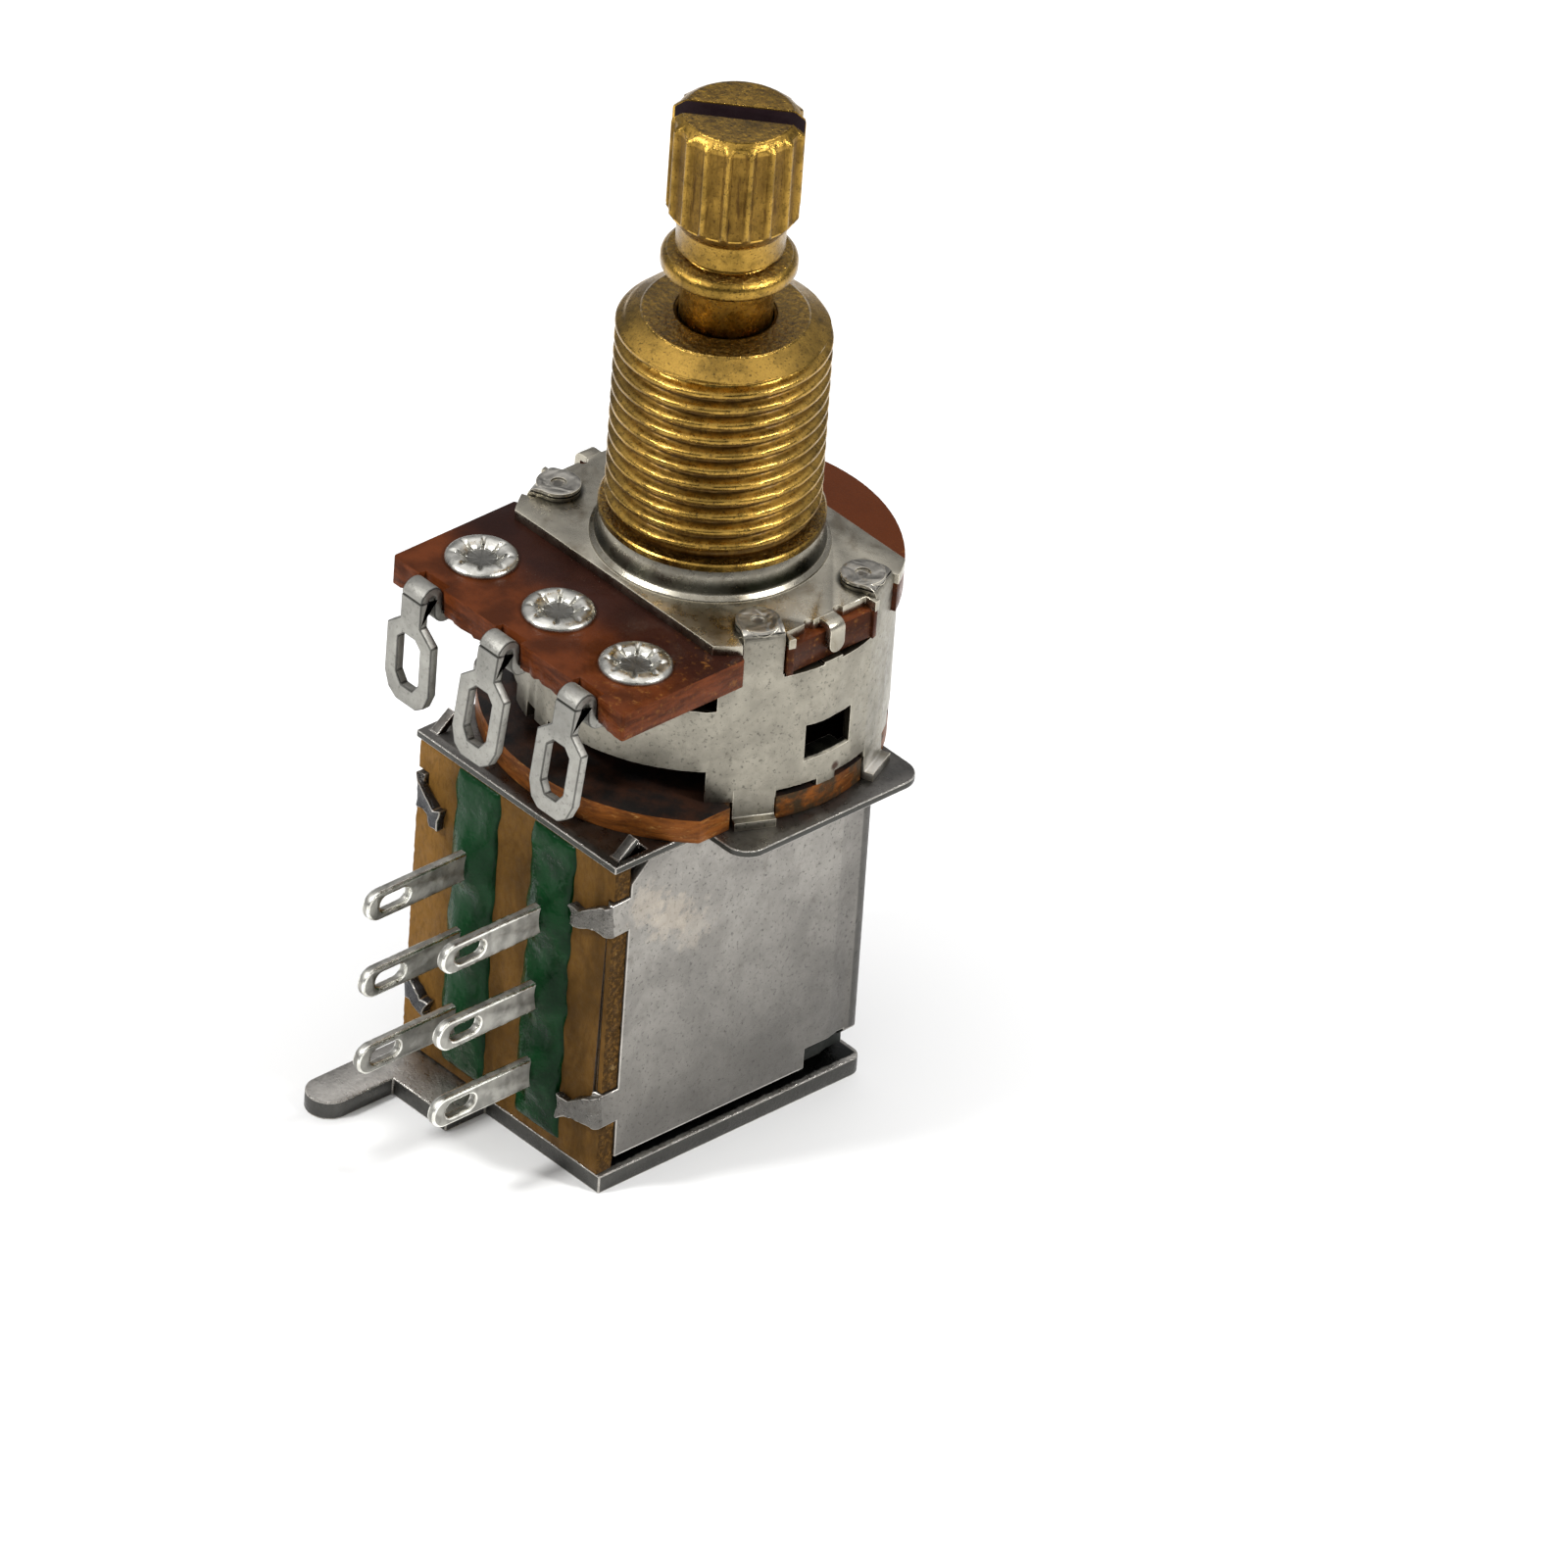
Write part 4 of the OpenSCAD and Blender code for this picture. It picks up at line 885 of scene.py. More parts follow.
class Tree:
    """A geometry node tree with named inputs, and the modifier that runs it."""

    def __init__(self, name):
        self.tree = bpy.data.node_groups.new(name, "GeometryNodeTree")
        for side in ("INPUT", "OUTPUT"):
            self.tree.interface.new_socket("Geometry", in_out=side, socket_type="NodeSocketGeometry")
        self.source = self.tree.nodes.new("NodeGroupInput")
        self.sink = self.tree.nodes.new("NodeGroupOutput")

    def inputs(self, *names, kind="Float"):
        """Named inputs of one kind."""
        for name in names:
            self.tree.interface.new_socket(name, in_out="INPUT", socket_type="NodeSocket" + kind)
        return [Number(self.source.outputs[name]) for name in names]

    def add(self, kind, *feeds, **facts):
        return add_node(self.tree, kind, *feeds, **facts)

    def position(self):
        """The coordinates of each point."""
        place = self.add("GeometryNodeInputPosition").outputs[0]
        return [Number(part) for part in self.add("ShaderNodeSeparateXYZ", (0, place)).outputs]

    def polar(self):
        """Radius, angle in turns and height of each point."""
        x, y, z = self.position()
        return (x * x + y * y).root(), y.join("ARCTAN2", x) / (2.0 * math.pi), z

    def place(self, geometry, radius, turns, height):
        """Moves the points to cylindrical places."""
        turn = turns * (2.0 * math.pi)
        x, y = radius * turn.join("COSINE"), radius * turn.join("SINE")
        spot = self.add("ShaderNodeCombineXYZ", (0, x), (1, y), (2, height)).outputs[0]
        return self.add("GeometryNodeSetPosition", ("Geometry", geometry), ("Position", spot)).outputs[0]

    def end(self, geometry):
        """Realizes instances and sets the material."""
        material, = self.inputs("Material", kind="Material")
        plain = self.add("GeometryNodeRealizeInstances", ("Geometry", geometry)).outputs[0]
        made = self.add("GeometryNodeSetMaterial", ("Geometry", plain), ("Material", material))
        plug(self.sink.inputs[0], made.outputs[0])
        return self

    def run(self, piece, **values):
        """Puts the tree on a piece, sets the inputs and turns the result into plain mesh."""
        modifier = piece.modifiers.new(self.tree.name, "NODES")
        modifier.node_group = self.tree
        sockets = {s.name: s for s in self.tree.interface.items_tree if s.in_out == "INPUT"}
        for name, value in values.items():
            modifier[sockets[name.replace("_", " ").capitalize()].identifier] = value
        settle(piece)


def ridge(phase):
    """1 on each whole number and 0 halfway between, in straight flanks."""
    return abs(phase.join("FRACT") * 2.0 - 1.0)


def thread_tree():
    """A tube with a right-hand screw thread that fades out at its foot and is bevelled at its top."""
    made = Tree("screw_thread")
    radius, depth, pitch, height = made.inputs("Radius", "Depth", "Pitch", "Height")
    bevel_height, bevel_width = made.inputs("Bevel height", "Bevel width")
    segments, rows = made.inputs("Segments", "Rows", kind="Int")
    feeds = (("Size X", 1.0), ("Size Y", 1.0), ("Vertices X", segments), ("Vertices Y", rows))
    grid = made.add("GeometryNodeMeshGrid", *feeds).outputs["Mesh"]
    x, y, _ = made.position()
    turns, z = x + 0.5, (y + 0.5) * height
    crest = ridge(z / pitch - turns).step(0.1, 0.86)
    foot = (z / pitch).step(0.0, 0.7)
    wave = radius - depth + crest * foot * depth
    slope = (z - (height - bevel_height)).most(0.0) * (bevel_width / bevel_height)
    tube = made.place(grid, wave.least(radius - slope), turns, z)
    seamless = made.add("GeometryNodeMergeByDistance", ("Geometry", tube), ("Distance", 1e-6))
    return made.end(seamless.outputs[0])


def spline_tree():
    """Grooves cut into a turned head, down to a floor that doesn't follow the bevel over them."""
    made = Tree("head_splines")
    splines, = made.inputs("Count", kind="Int")
    radius, depth, low, high = made.inputs("Radius", "Depth", "Low", "High")
    reach, turns, z = made.polar()
    groove = ridge(turns * splines).step(0.05, 0.5)
    outside = reach.least(radius - groove * depth * z.step(low, high))
    return made.end(made.place(made.source.outputs["Geometry"], outside, turns, z))


def crimp_tree():
    """Clefts at the inner rim of a turned flange, and a well with as many corners as there are clefts."""
    made = Tree("eyelet_crimps")
    clefts, = made.inputs("Count", kind="Int")
    inner, outer, level, cleft = made.inputs("Inner", "Outer", "Level", "Cleft")
    reach, turns, z = made.polar()
    gap = ridge(turns * clefts).step(0.68, 0.96)
    keep = gap * reach.fall(inner, outer) * cleft * -1.0 + 1.0
    over, under = (z - level).most(0.0), (z - level).least(0.0)
    near = reach.fall(inner, inner + 0.15 * MM) * over.step(0.0, 0.01 * MM)
    push = gap * near * (0.12 * MM)
    moved = made.place(made.source.outputs["Geometry"], reach + push, turns, level + over * keep + under)
    return made.end(moved)


# ---------------------------------------------------------------- operators


class PullPotStep(Operator):
    """Base of the steps that build one piece or group each."""

    bl_options = {"REGISTER", "UNDO"}

    def execute(self, context):
        self.build(context.scene.pull_pot)
        return {"FINISHED"}


class PULLPOT_OT_bushing(PullPotStep):
    """Bushing with a real screw thread"""

    bl_idname = "pull_pot.bushing"
    bl_label = "Bushing"

    def build(self, chosen):
        low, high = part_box("bushing")
        thread = chosen.thread
        made = link_object("threaded_bushing", bpy.data.meshes.new("threaded_bushing"))
        names = ("radius", "depth", "pitch", "bevel_height", "bevel_width")
        thread_tree().run(
            made,
            **{name: getattr(thread, name) for name in names},
            height=high.z,
            segments=thread.segments + 1,
            rows=thread.rows + 1,
            material=finish_of("brass_thread"),
        )
        # Radii in millimetres; the waist passes the boss of the face plate, the rivet holds it
        rim = (thread.radius - thread.bevel_width) / MM
        root = (thread.radius - thread.depth) / MM
        bore, tail, rivet, waist, shoulder = 2.13, 2.9, 3.7, 3.19, 5.0
        outline = profile(
            (rim, high.z, 0.0), (rim - 0.08, high.z, 0.0), (bore + 0.2, high.z, 0.0),
            (bore + 0.12, high.z, 0.0), (bore, high.z, -0.1), (bore, high.z, -1.0), (bore, low.z, 0.0),
            (tail, low.z, 0.0), (tail, 0.0, -1.32), (rivet - 0.01, 0.0, -1.2), (rivet, 0.0, -0.92),
            (waist, 0.0, -0.9), (waist, 0.0, -0.4), (shoulder - 0.08, 0.0, -0.4), (shoulder, 0.0, -0.33),
            (shoulder, 0.0, -0.07), (shoulder - 0.07, 0.0, 0.0), (root, 0.0, 0.0),
        )
        turned = lathe("turned_part", outline, thread.segments)

        def join(work):
            work.from_mesh(turned.data)
            bmesh.ops.remove_doubles(work, verts=work.verts, dist=0.002 * MM)
            bmesh.ops.recalc_face_normals(work, faces=work.faces)

        edit(made, join)
        bpy.data.objects.remove(turned)
        smooth(made, 40.0)
        wear(made, ("brass_thread",))
        dress(made, "bushing")


class PULLPOT_OT_shaft(PullPotStep):
    """Shaft with its splined, slotted head"""

    bl_idname = "pull_pot.shaft"
    bl_label = "Shaft"

    # The head's bevel in shares of its width and height, with a rounded rim
    CROWN = ((0.0, -0.12), (0.05, 0.06), (0.2, 0.25), (0.45, 0.54), (0.75, 0.85), (0.9, 0.97), (1.0, 1.0))

    def build(self, chosen):
        low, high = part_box("shaft")
        sizes = chosen.shaft
        crown, bevel = sizes.crown_height, sizes.crown_width
        # Radii in millimetres, then levels in metres
        head, neck, stem, tail, groove = 3.0, 2.4, 2.05, 1.55, 1.0
        rim = high.z - crown
        foot = rim - 4.25 * MM
        taper = foot - 0.85 * MM
        waist_top = taper - 1.2 * MM
        collar_top = waist_top - 0.35 * MM
        collar = collar_top - 0.95 * MM
        flats = low.z + 4.0 * MM
        outline = profile(
            (0.0, low.z, 0.0), (tail - 0.15, low.z, 0.0), (tail, low.z, 0.15), (tail, low.z, 1.0),
            (groove, low.z, 1.0), (groove, low.z, 2.0), (tail, low.z, 2.0), (tail, flats, 0.0),
            (stem, flats, 0.0), (stem, collar, 0.02), (head - 0.28, collar, 0.02), (head - 0.22, collar, 0.05),
            (head - 0.05, collar, 0.2), (head, collar, 0.3), (head, collar_top, -0.32),
            (head - 0.04, collar_top, -0.2), (head - 0.16, collar_top, -0.06), (head - 0.28, collar_top, 0.0),
            (stem + 0.03, collar_top, 0.02), (stem, collar_top, 0.08), (stem, waist_top, -0.05),
            (neck - 0.06, waist_top, 0.0), (neck, waist_top, 0.06), (neck, taper, -0.05),
            (neck + 0.03, taper, 0.04),
        )
        head, neck = head * MM, neck * MM
        outline += [(neck + (head - neck) * k / 8, taper + (foot - taper) * k / 8) for k in range(1, 9)]
        outline += [(head, foot + (rim - foot) * k / 12) for k in range(1, 12)]
        outline += [(head - bevel * w, rim + crown * h) for w, h in self.CROWN]
        outline += [(head - bevel - 0.08 * MM, high.z), (0.0, high.z)]
        made = lathe("splined_shaft", outline, sizes.splines * 16)
        spline_tree().run(
            made,
            count=sizes.splines,
            radius=head,
            depth=sizes.groove,
            low=foot - 0.75 * MM,
            high=foot + 0.1 * MM,
            material=finish_of("brass_splines"),
        )
        self.cut(made, sizes, high.z, flats)
        round_edges(made, 0.05 * MM, 2, 48.0)
        smooth(made, 40.0)
        dress(made, "shaft")

    def cut(self, made, sizes, top, flats):
        """Cuts the slot, whose walls and floor take a near-black finish of dirt and painted shade, and the two
        flats of the tail.
        """
        turn = Matrix.Rotation(sizes.slot_turn, 4, "Z")
        slot = Matrix.Diagonal((10.0 * MM, sizes.slot_width, 2.0 * sizes.slot_depth, 1.0))
        flats_top = -2.4 * MM
        flat = Matrix.Diagonal((8.0 * MM, 3.0 * MM, flats_top - flats, 1.0))
        tool = link_object("cutter", bpy.data.meshes.new("cutter"))

        def blocks(work):
            bmesh.ops.create_cube(work, size=1.0, matrix=Matrix.Translation((0, 0, top)) @ turn @ slot)
            for side in (-1, 1):
                middle = Matrix.Translation((0, side * 3.1 * MM, (flats_top + flats) / 2))
                bmesh.ops.create_cube(work, size=1.0, matrix=middle @ flat)

        edit(tool, blocks)
        wear(made, ("brass_splines", "slot_grime", "brass_edge"))
        cut = made.modifiers.new("cut", "BOOLEAN")
        cut.object = tool
        cut.solver = "EXACT"
        settle(made)
        bpy.data.objects.remove(tool)
        floor = top - sizes.slot_depth
        back = turn.to_3x3().inverted()
        close = 0.01 * MM

        # The slot's walls and floor take the near-black finish of dirt and painted shade
        def darken(work):
            for face in work.faces:
                place = back @ face.calc_center_median()
                across = back @ face.normal
                wall = abs(abs(place.y) - sizes.slot_width / 2) < close and abs(across.y) > 0.99
                ground = abs(place.z - floor) < close and face.normal.z > 0.99
                face.material_index = 1 if place.z > floor - close and (wall or ground) else 0

        edit(made, darken)


class PULLPOT_OT_eyelets(PullPotStep):
    """Three eyelets crimped into petals"""

    bl_idname = "pull_pot.eyelets"
    bl_label = "Eyelets"

    # The flange's rise: millimetres in from its rim, share of its height
    FLANGE = (
        (0.03, 0.45), (0.1, 0.68), (0.2, 0.84), (0.33, 0.96),
        (0.45, 1.0), (0.58, 0.97), (0.68, 0.86), (0.76, 0.66),
    )

    # Height of the flange, depth of the foot and radius of the well, in millimetres
    RISE, FOOT, WELL = 0.32, 0.25, 0.66

    def build(self, chosen):
        tree = crimp_tree()
        well = self.WELL * MM
        for side in SIDES:
            node = "eyelet_" + side
            low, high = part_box(node)
            middle = (low + high) / 2
            flange = (high.x - low.x) / 2
            level = high.z - self.RISE * MM
            wafer_low = low.z + self.FOOT * MM
            barrel = flange * 0.72
            dome = high.z - level
            outline = [
                (0.0, low.z), (flange - 0.15 * MM, low.z), (flange - 0.15 * MM, wafer_low),
                (barrel, wafer_low), (barrel, level), (flange - 0.02 * MM, level), (flange, level + 0.06 * MM),
            ]
            outline += [(flange - w * MM, level + dome * h) for w, h in self.FLANGE]
            outline += [
                (well + 0.02 * MM, level + 0.35 * dome), (well, level + 0.12 * dome),
                (well - 0.03 * MM, level + 0.02 * MM), (0.3 * MM, level + 0.01 * MM), (0.0, level + 0.01 * MM),
            ]
            made = lathe("crimped_" + node, outline, chosen.eyelet.petals * 14)
            tree.run(
                made,
                count=chosen.eyelet.petals,
                inner=well + 0.2 * MM,
                outer=well + 0.8 * MM,
                level=level,
                cleft=chosen.eyelet.cleft,
                material=finish_of("tin"),
            )
            made.data.materials.append(finish_of("well"))
            for face in made.data.polygons:
                if math.hypot(face.center.x, face.center.y) < well + 0.012 * MM and face.center.z > wafer_low:
                    face.material_index = 1
            made.data.transform(Matrix.Translation((middle.x, middle.y, 0.0)))
            smooth(made, 50.0)
            dress(made, node)


class PULLPOT_OT_pot(PullPotStep):
    """Face plate, wafer, lugs, can and rear disc"""

    bl_idname = "pull_pot.pot"
    bl_label = "Potentiometer"

    def build(self, chosen):
        sheet, laminate = chosen.edges.sheet, chosen.edges.laminate
        refined("face_plate", ("nickel", "nickel_edge"), 0.6 * sheet)
        refined("resistor_wafer", ("wafer", "wafer"), laminate, self.chip)
        refined("pot_can", ("can", "can_cut", "can_lip", "can_edge"), 0.4 * sheet, self.flush)
        refined("rear_disc", ("disc", "disc"), laminate)
        for side in SIDES:
            refined("pot_terminal_" + side, ("lug", "lug_edge"), 0.06 * MM)

    def chip(self, work):
        """Breaks small chips out of the lower front edge between the lugs."""
        low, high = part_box("resistor_wafer")
        lattice(work, lambda place: place.y < low.y + 0.3 * MM, 0, 0.22 * MM, low.x + 0.1 * MM, high.x)
        for vert in work.verts:
            if vert.co.y < low.y + 0.05 * MM and vert.co.z < (low.z + high.z) / 2 and abs(vert.co.x) < 7.0 * MM:
                vert.co.y += abs(ripple(vert.co, 2.4, 4.0).y) * 0.3 * MM
                vert.co.z += abs(ripple(vert.co, 2.9, 6.0).z) * 0.16 * MM

    def flush(self, work):
        """Draws the ears and feet back into the round wall that they are cut from, frays the window's
        rims, and gives the cut faces their own finish."""
        wall = WALL * MM
        for vert in work.verts:
            reach = math.hypot(vert.co.x, vert.co.y)
            if -10.15 * MM < vert.co.z < -3.6 * MM and wall < reach < wall + 0.1 * MM:
                vert.co.x *= wall / reach
                vert.co.y *= wall / reach
            if -8.2 * MM < vert.co.z < -5.4 * MM and vert.co.x > 0.0:
                vert.co.z += ripple(vert.co, 1.9, 9.0).z * 0.12 * MM
        weld(work, 0.02 * MM)
        work.normal_update()
        cut_face, lip_face = 1, 2
        for face in work.faces:
            middle = face.calc_center_median()
            outward_here = Vector((middle.x, middle.y, 0.0)).normalized()
            if -10.0 * MM < middle.z < -3.0 * MM and abs(face.normal.dot(outward_here)) < 0.3:
                face.material_index = lip_face if face.normal.z > 0.5 and middle.z < -6.5 * MM else cut_face


class PULLPOT_OT_switch(PullPotStep):
    """Plates, folded housing and blades of the switch"""

    bl_idname = "pull_pot.switch"
    bl_label = "Switch"

    def build(self, chosen):
        edges = chosen.edges
        refined("switch_top_plate", ("plate", "plate_edge"), edges.sheet)
        refined("switch_bottom_plate", ("foot_plate", "plate_edge"), 1.4 * edges.sheet)
        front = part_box("terminal_board")[0].y
        low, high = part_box("switch_housing")

        def clamped(place):
            return place.y < front + 0.3 * MM

        def crumple(work):
            lattice(work, clamped, 0, 0.22 * MM, low.x + 0.1 * MM, high.x)
            lattice(work, clamped, 2, 0.22 * MM, low.z, high.z)
            for vert in work.verts:
                if clamped(vert.co):
                    push = ripple(vert.co, 1.1, 3.0) + ripple(vert.co, 2.6, 5.0) * 0.5
                    push.y *= 1.2
                    vert.co += push * edges.crumple
            for face in work.faces:
                if face.calc_center_median().y < front + 0.02 * MM:
                    face.material_index = 1

        refined("switch_housing", ("steel", "clamp", "steel_edge"), edges.sheet, crumple)
        for column in COLUMNS:
            for row in ROWS:
                refined(f"switch_terminal_{column}_{row}", ("blade", "tin_edge"), 0.11 * MM)


class PULLPOT_OT_board(PullPotStep):
    """Terminal board with frayed edges, and its lacquer"""

    bl_idname = "pull_pot.board"
    bl_label = "Board and lacquer"

    # Steps across and along a stripe, and its thickness, mounds and sunken rim in millimetres
    ACROSS, ALONG = 56, 240
    FILM, SWELL, MOUND, SUNK = 0.26, 0.09, 0.62, 0.02
    SEEDS = {"left": 11.0, "right": 23.0}

    def build(self, chosen):
        fray = chosen.edges.fray
        low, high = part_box("terminal_board")

        def inside(place):
            return min(place.x - low.x, high.x - place.x, place.z - low.z, high.z - place.z)

        def fringe(work):
            for axis, start, end in ((0, low.x, high.x), (2, low.z, high.z)):
                lattice(work, lambda place: inside(place) < 0.4 * MM, axis, 0.2 * MM, start + 0.1 * MM, end)
            for vert in work.verts:
                if inside(vert.co) < 0.02 * MM:
                    push = ripple(vert.co, 2.3, 1.0) * fray
                    vert.co.x -= math.copysign(abs(push.x), vert.co.x)
                    vert.co.z += push.z * 0.3

        refined("terminal_board", ("board", "board"), chosen.edges.laminate, fringe)
        for column in COLUMNS:
            self.stripe(column, low.y)

    def stripe(self, column, face):
        """One stripe of lacquer as a height field over the board's front face, with a mound at each blade."""
        node = "lacquer_" + column
        low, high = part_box(node)
        blades = [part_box(f"switch_terminal_{column}_{row}") for row in ROWS]
        mounds = [(a + b) / 2 for a, b in blades]
        middle = (low.x + high.x) / 2
        half = (high.x - low.x) / 2
        seed = self.SEEDS[column]
        verts = []
        for j in range(self.ALONG + 1):
            z = low.z + (high.z - low.z) * j / self.ALONG
            wobble = noise.noise(Vector((seed, 0.0, z / MM * 0.9))) * 0.18 * MM
            drift = noise.noise(Vector((seed + 5.0, 0.0, z / MM * 0.5))) * 0.12 * MM
            for i in range(self.ACROSS + 1):
                u = 2.0 * i / self.ACROSS - 1.0
                x = middle + drift * (1.0 - abs(u)) + u * (half - 0.2 * MM + wobble)
                end = min(z - low.z, high.z - z) / (0.7 * MM)
                edge = max(0.0, 1.0 - abs(u) ** 4) * (1.0 - max(0.0, 1.0 - end) ** 2)
                lift = self.FILM * MM * edge ** 0.5
                lift += self.SWELL * MM * edge * noise.noise(Vector((x / MM * 1.1, seed, z / MM * 0.8)))
                for spot in mounds:
                    reach = math.hypot((x - spot.x) / (1.35 * MM), (z - spot.z) / (1.75 * MM))
                    lift += self.MOUND * MM * math.exp(-((reach * 1.25) ** 2.4)) * edge ** 0.3
                lift = max(lift, 0.0) if 0 < i < self.ACROSS and 0 < j < self.ALONG else -self.SUNK * MM
                verts.append((x, face - lift, z))
        row = self.ACROSS + 1
        corners = [j * row + i for j in range(self.ALONG) for i in range(self.ACROSS)]
        mesh = bpy.data.meshes.new(node)
        mesh.from_pydata(verts, [], [(a, a + 1, a + row + 1, a + row) for a in corners])
        made = link_object("flowed_" + node, mesh)

        def close(work):
            rim = [e for e in work.edges if e.is_boundary]
            bmesh.ops.holes_fill(work, edges=rim, sides=0)
            bmesh.ops.recalc_face_normals(work, faces=work.faces)

        edit(made, close)
        smooth(made, 60.0)
        wear(made, ("lacquer",))
        dress(made, node)


class PULLPOT_OT_inside(PullPotStep):
    """Finishes of the moving and hidden parts"""

    bl_idname = "pull_pot.inside"
    bl_label = "Hidden parts"

    # CAD nodes that are shown as they are, and their finishes
    PLAIN = {
        "carbon_track": "carbon",
        "collector_ring": "tin",
        "wiper": "brass",
        "bridge_contact_left": "tin",
        "bridge_contact_right": "tin",
    }

    def build(self, chosen):
        refined("rotor", ("black_moulding", "black_moulding"), 0.08 * MM)
        refined("switch_slider", ("white_moulding", "white_moulding"), 0.08 * MM)
        for node, look in self.PLAIN.items():
            wear(frame["nodes"][node], (look,))


def outward(turn, rise):
    """The direction to a place round and over the shaft, from angles in radians."""
    return Vector((math.sin(turn) * math.cos(rise), -math.cos(turn) * math.cos(rise), math.sin(rise)))


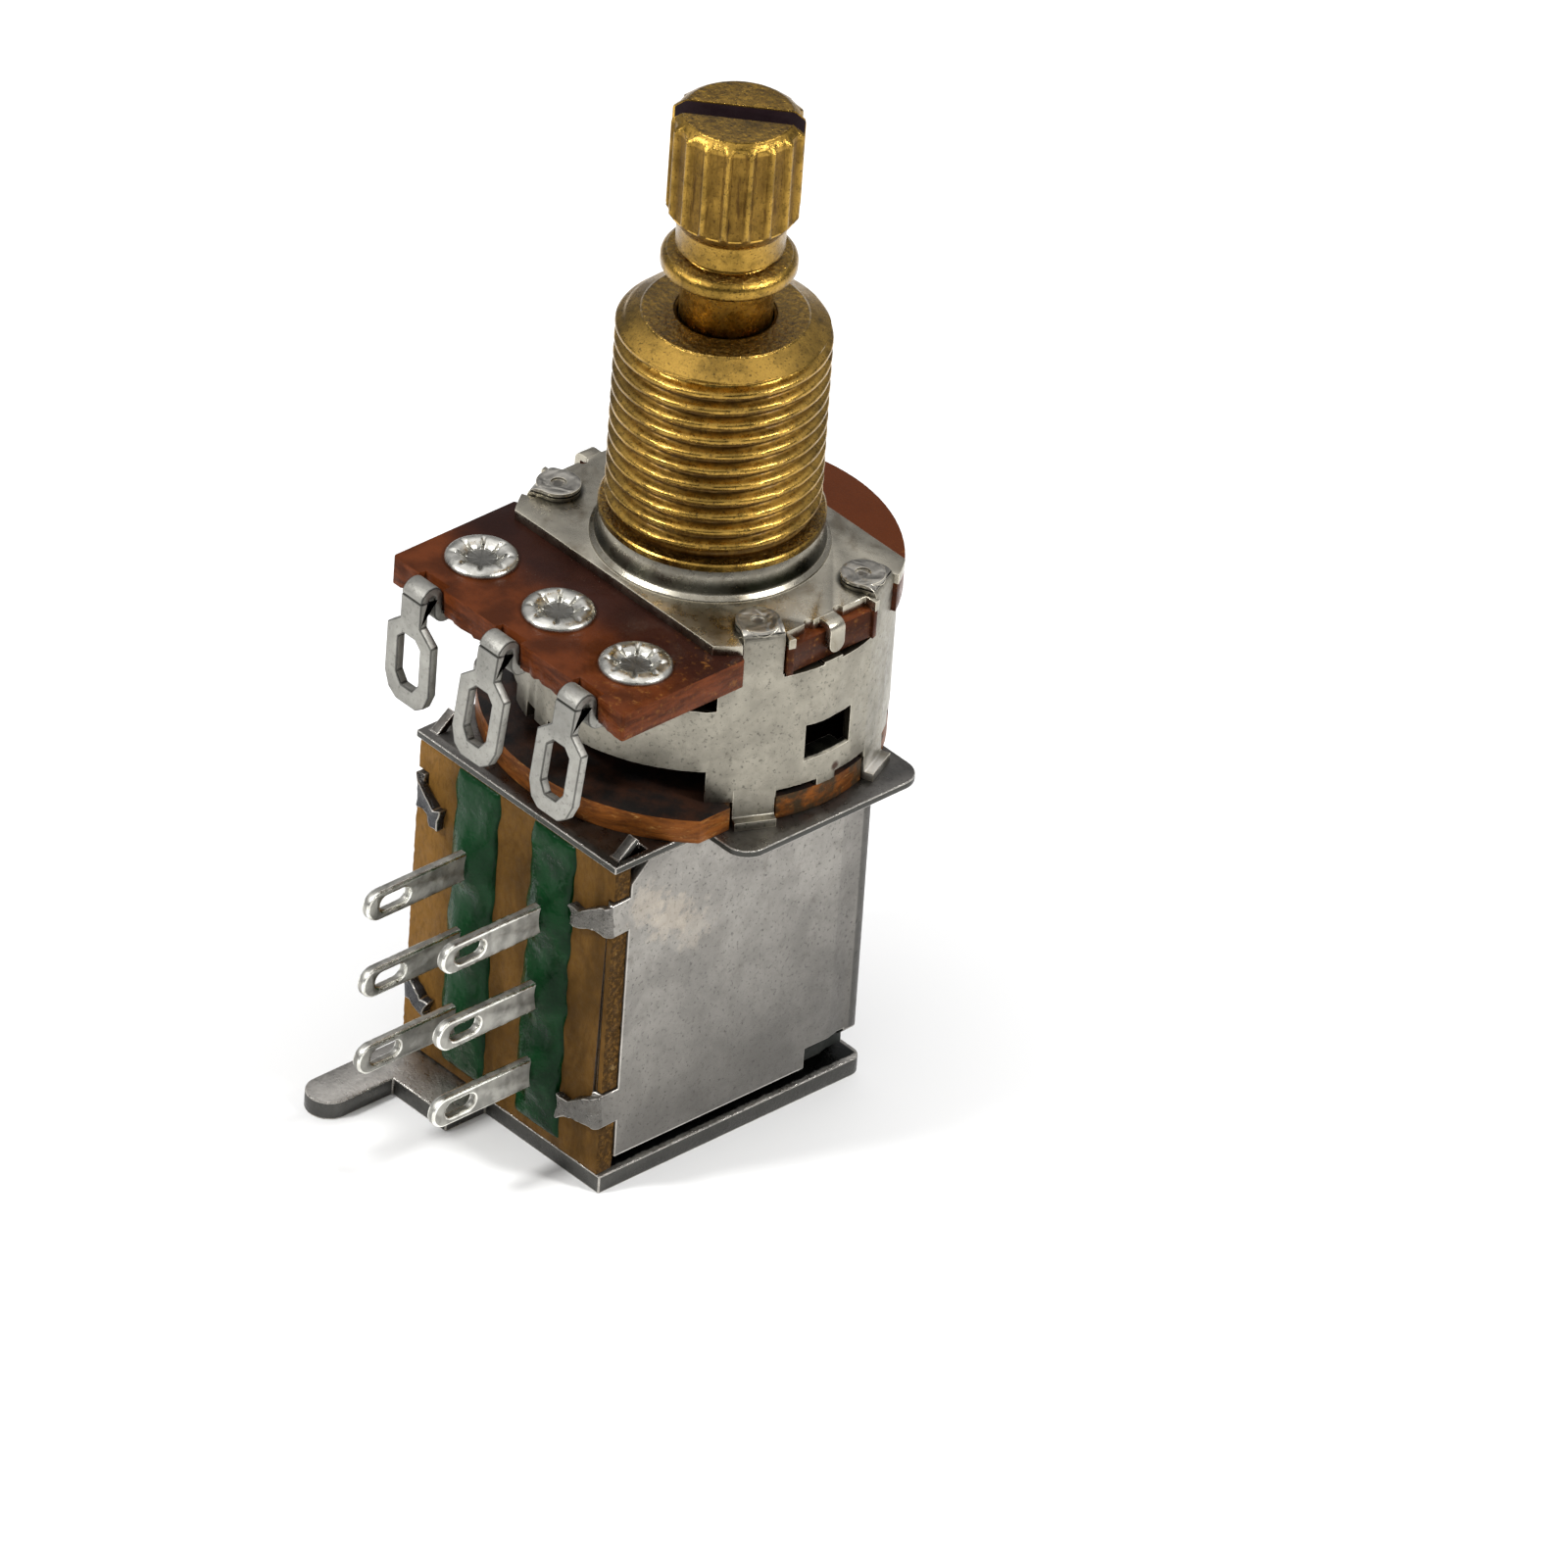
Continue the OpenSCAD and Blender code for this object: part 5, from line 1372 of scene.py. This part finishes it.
class PULLPOT_OT_studio(PullPotStep):
    """Plain pale floor, soft light and the camera of the photograph"""

    bl_idname = "pull_pot.studio"
    bl_label = "Studio"

    # Pixel of the photograph, 1600 wide and high, in which the point 0.5 mm under the origin lies,
    # and how many of its pixels a millimetre takes there
    ORIGIN_X = 726.29
    ORIGIN_Y = 520.98
    ORIGIN_Z = -0.5
    MIDDLE = 800.0
    PIXELS_A_MM = 23.457
    SENSOR = 36.0

    # Soft lamps: name, turn and rise in degrees, distance and width in metres, power in watts
    LAMPS = (("left", -22.0, 45.0, 0.35, 0.055, 0.7), ("right", 112.0, 45.0, 0.35, 0.055, 0.7))

    # The wide overhead light: turn, rise and spread in degrees, distance in metres and strength
    SUN = (20.0, 66.0, 60.0, 0.5, 0.6)

    # Brightness of the sky at sines of the height over the horizon
    SKY = ((0.0, 0.26), (0.42, 0.34), (0.62, 0.75), (0.85, 1.3))

    # Dark side of the room, behind the camera: turn and rise, the angles where it starts and is full,
    # and the share of light that is left there
    DARK = (46.0, 50.0, 48.0, 26.0)
    DARKEST = 0.12

    def build(self, chosen):
        self.floor()
        self.camera(chosen.studio)
        self.lights(chosen.studio)
        self.sky(chosen.studio.fill)

    def floor(self):
        floor = link_object("floor", bpy.data.meshes.new("floor"))
        edit(floor, lambda work: bmesh.ops.create_grid(work, x_segments=2, y_segments=2, size=1.5))
        floor.location.z = cad_box[0].z
        finish = Finish("floor", settings().colours.floor, specular=0.2)
        finish.ground(finish.patches(0.3, 0.7, 0.01, 2.0, 0.5), 1.0, 0.985)
        floor.data.materials.append(finish.done(0.8))

    def camera(self, studio):
        a, e, r = studio.azimuth, studio.elevation, studio.roll
        right = Vector((math.cos(a), math.sin(a), 0.0))
        up = Vector((-math.sin(a) * math.sin(e), math.cos(a) * math.sin(e), math.cos(e)))
        back = outward(a, e)
        across = right * math.cos(r) + up * math.sin(r)
        over = up * math.cos(r) - right * math.sin(r)
        place = back * studio.distance
        place -= across * (self.ORIGIN_X - self.MIDDLE) / self.PIXELS_A_MM * MM
        place += over * (self.ORIGIN_Y - self.MIDDLE) / self.PIXELS_A_MM * MM
        place.z += self.ORIGIN_Z * MM
        data = bpy.data.cameras.new("camera")
        data.sensor_width = self.SENSOR
        data.lens = self.PIXELS_A_MM * studio.distance / MM / (2.0 * self.MIDDLE) * self.SENSOR
        data.clip_start, data.clip_end = 0.01, 10.0
        camera = link_object("camera", data)
        camera.matrix_world = Matrix.Translation(place) @ Matrix((across, over, back)).transposed().to_4x4()
        bpy.context.scene.camera = camera

    def lights(self, studio):
        for name, turn, rise, far, width, power in self.LAMPS:
            data = bpy.data.lights.new(name, "AREA")
            data.shape = "DISK"
            data.size = width
            data.energy = power * studio.key
            self.hang(name, data, turn, rise, far)
        turn, rise, spread, far, strength = self.SUN
        data = bpy.data.lights.new("sun", "SUN")
        data.angle = math.radians(spread)
        data.energy = strength * studio.key
        self.hang("sun", data, turn, rise, far)
        bpy.context.scene.view_settings.view_transform = "Standard"

    def hang(self, name, data, turn, rise, far):
        """Hangs a lamp at an angle round and over the can, and points it there."""
        lamp = link_object(name, data)
        target = Vector((0.0, -0.004, -0.010))
        back = outward(math.radians(turn), math.radians(rise))
        lamp.location = target + back * far
        lamp.rotation_mode = "QUATERNION"
        lamp.rotation_quaternion = back.to_track_quat("Z", "Y")

    def sky(self, strength):
        """Soft light all round, dimmer towards the horizon and behind the camera."""
        world = bpy.data.worlds.new("studio")
        world.use_nodes = True
        tree = world.node_tree
        place = tree.nodes.new("ShaderNodeTexCoord").outputs["Generated"]
        height = add_node(tree, "ShaderNodeSeparateXYZ", (0, place)).outputs["Z"]
        ramp = add_node(tree, "ShaderNodeValToRGB", (0, height))
        turn, rise, start, full = [math.radians(degrees) for degrees in self.DARK]
        feeds = ((0, place), (1, outward(turn, rise)))
        near = add_node(tree, "ShaderNodeVectorMath", *feeds, operation="DOT_PRODUCT")
        dark = Number(near.outputs["Value"])
        dark = dark.step(math.cos(start), math.cos(full), strength, self.DARKEST * strength)
        stops = ramp.color_ramp.elements
        while len(stops) < len(self.SKY):
            stops.new(0.5)
        for stop, (place, light) in zip(stops, self.SKY):
            stop.position = place
            stop.color = (light, light, light * 1.02, 1.0)
        plug(tree.nodes["Background"].inputs["Color"], ramp.outputs["Color"])
        plug(tree.nodes["Background"].inputs["Strength"], dark)
        bpy.context.scene.world = world


STEPS = (
    PULLPOT_OT_bushing,
    PULLPOT_OT_shaft,
    PULLPOT_OT_eyelets,
    PULLPOT_OT_pot,
    PULLPOT_OT_switch,
    PULLPOT_OT_board,
    PULLPOT_OT_inside,
    PULLPOT_OT_studio,
)


class PULLPOT_PT_panel(Panel):
    """Sidebar panel with the settings and the steps"""

    bl_idname = "PULLPOT_PT_panel"
    bl_label = "Push-pull potentiometer"
    bl_space_type = "VIEW_3D"
    bl_region_type = "UI"
    bl_category = "Potentiometer"

    def draw(self, context):
        chosen = context.scene.pull_pot
        for part in (chosen.thread, chosen.shaft, chosen.eyelet, chosen.edges, chosen.colours, chosen.studio):
            box = self.layout.box()
            for name in part.bl_rna.properties.keys():
                if name not in {"rna_type", "name"}:
                    box.prop(part, name)
        for step in STEPS:
            self.layout.operator(step.bl_idname)


CLASSES = (
    PullPotThread,
    PullPotShaft,
    PullPotEyelet,
    PullPotEdges,
    PullPotColours,
    PullPotStudio,
    PullPotSettings,
    *STEPS,
    PULLPOT_PT_panel,
)


def register():
    for each in CLASSES:
        bpy.utils.register_class(each)
    bpy.types.Scene.pull_pot = PointerProperty(type=PullPotSettings)


def unregister():
    del bpy.types.Scene.pull_pot
    for each in reversed(CLASSES):
        bpy.utils.unregister_class(each)


def main():
    """Registers the add-on and runs its steps."""
    register()
    for step in STEPS:
        family, name = step.bl_idname.split(".")
        getattr(getattr(bpy.ops, family), name)()


if __name__ == "__main__":
    main()
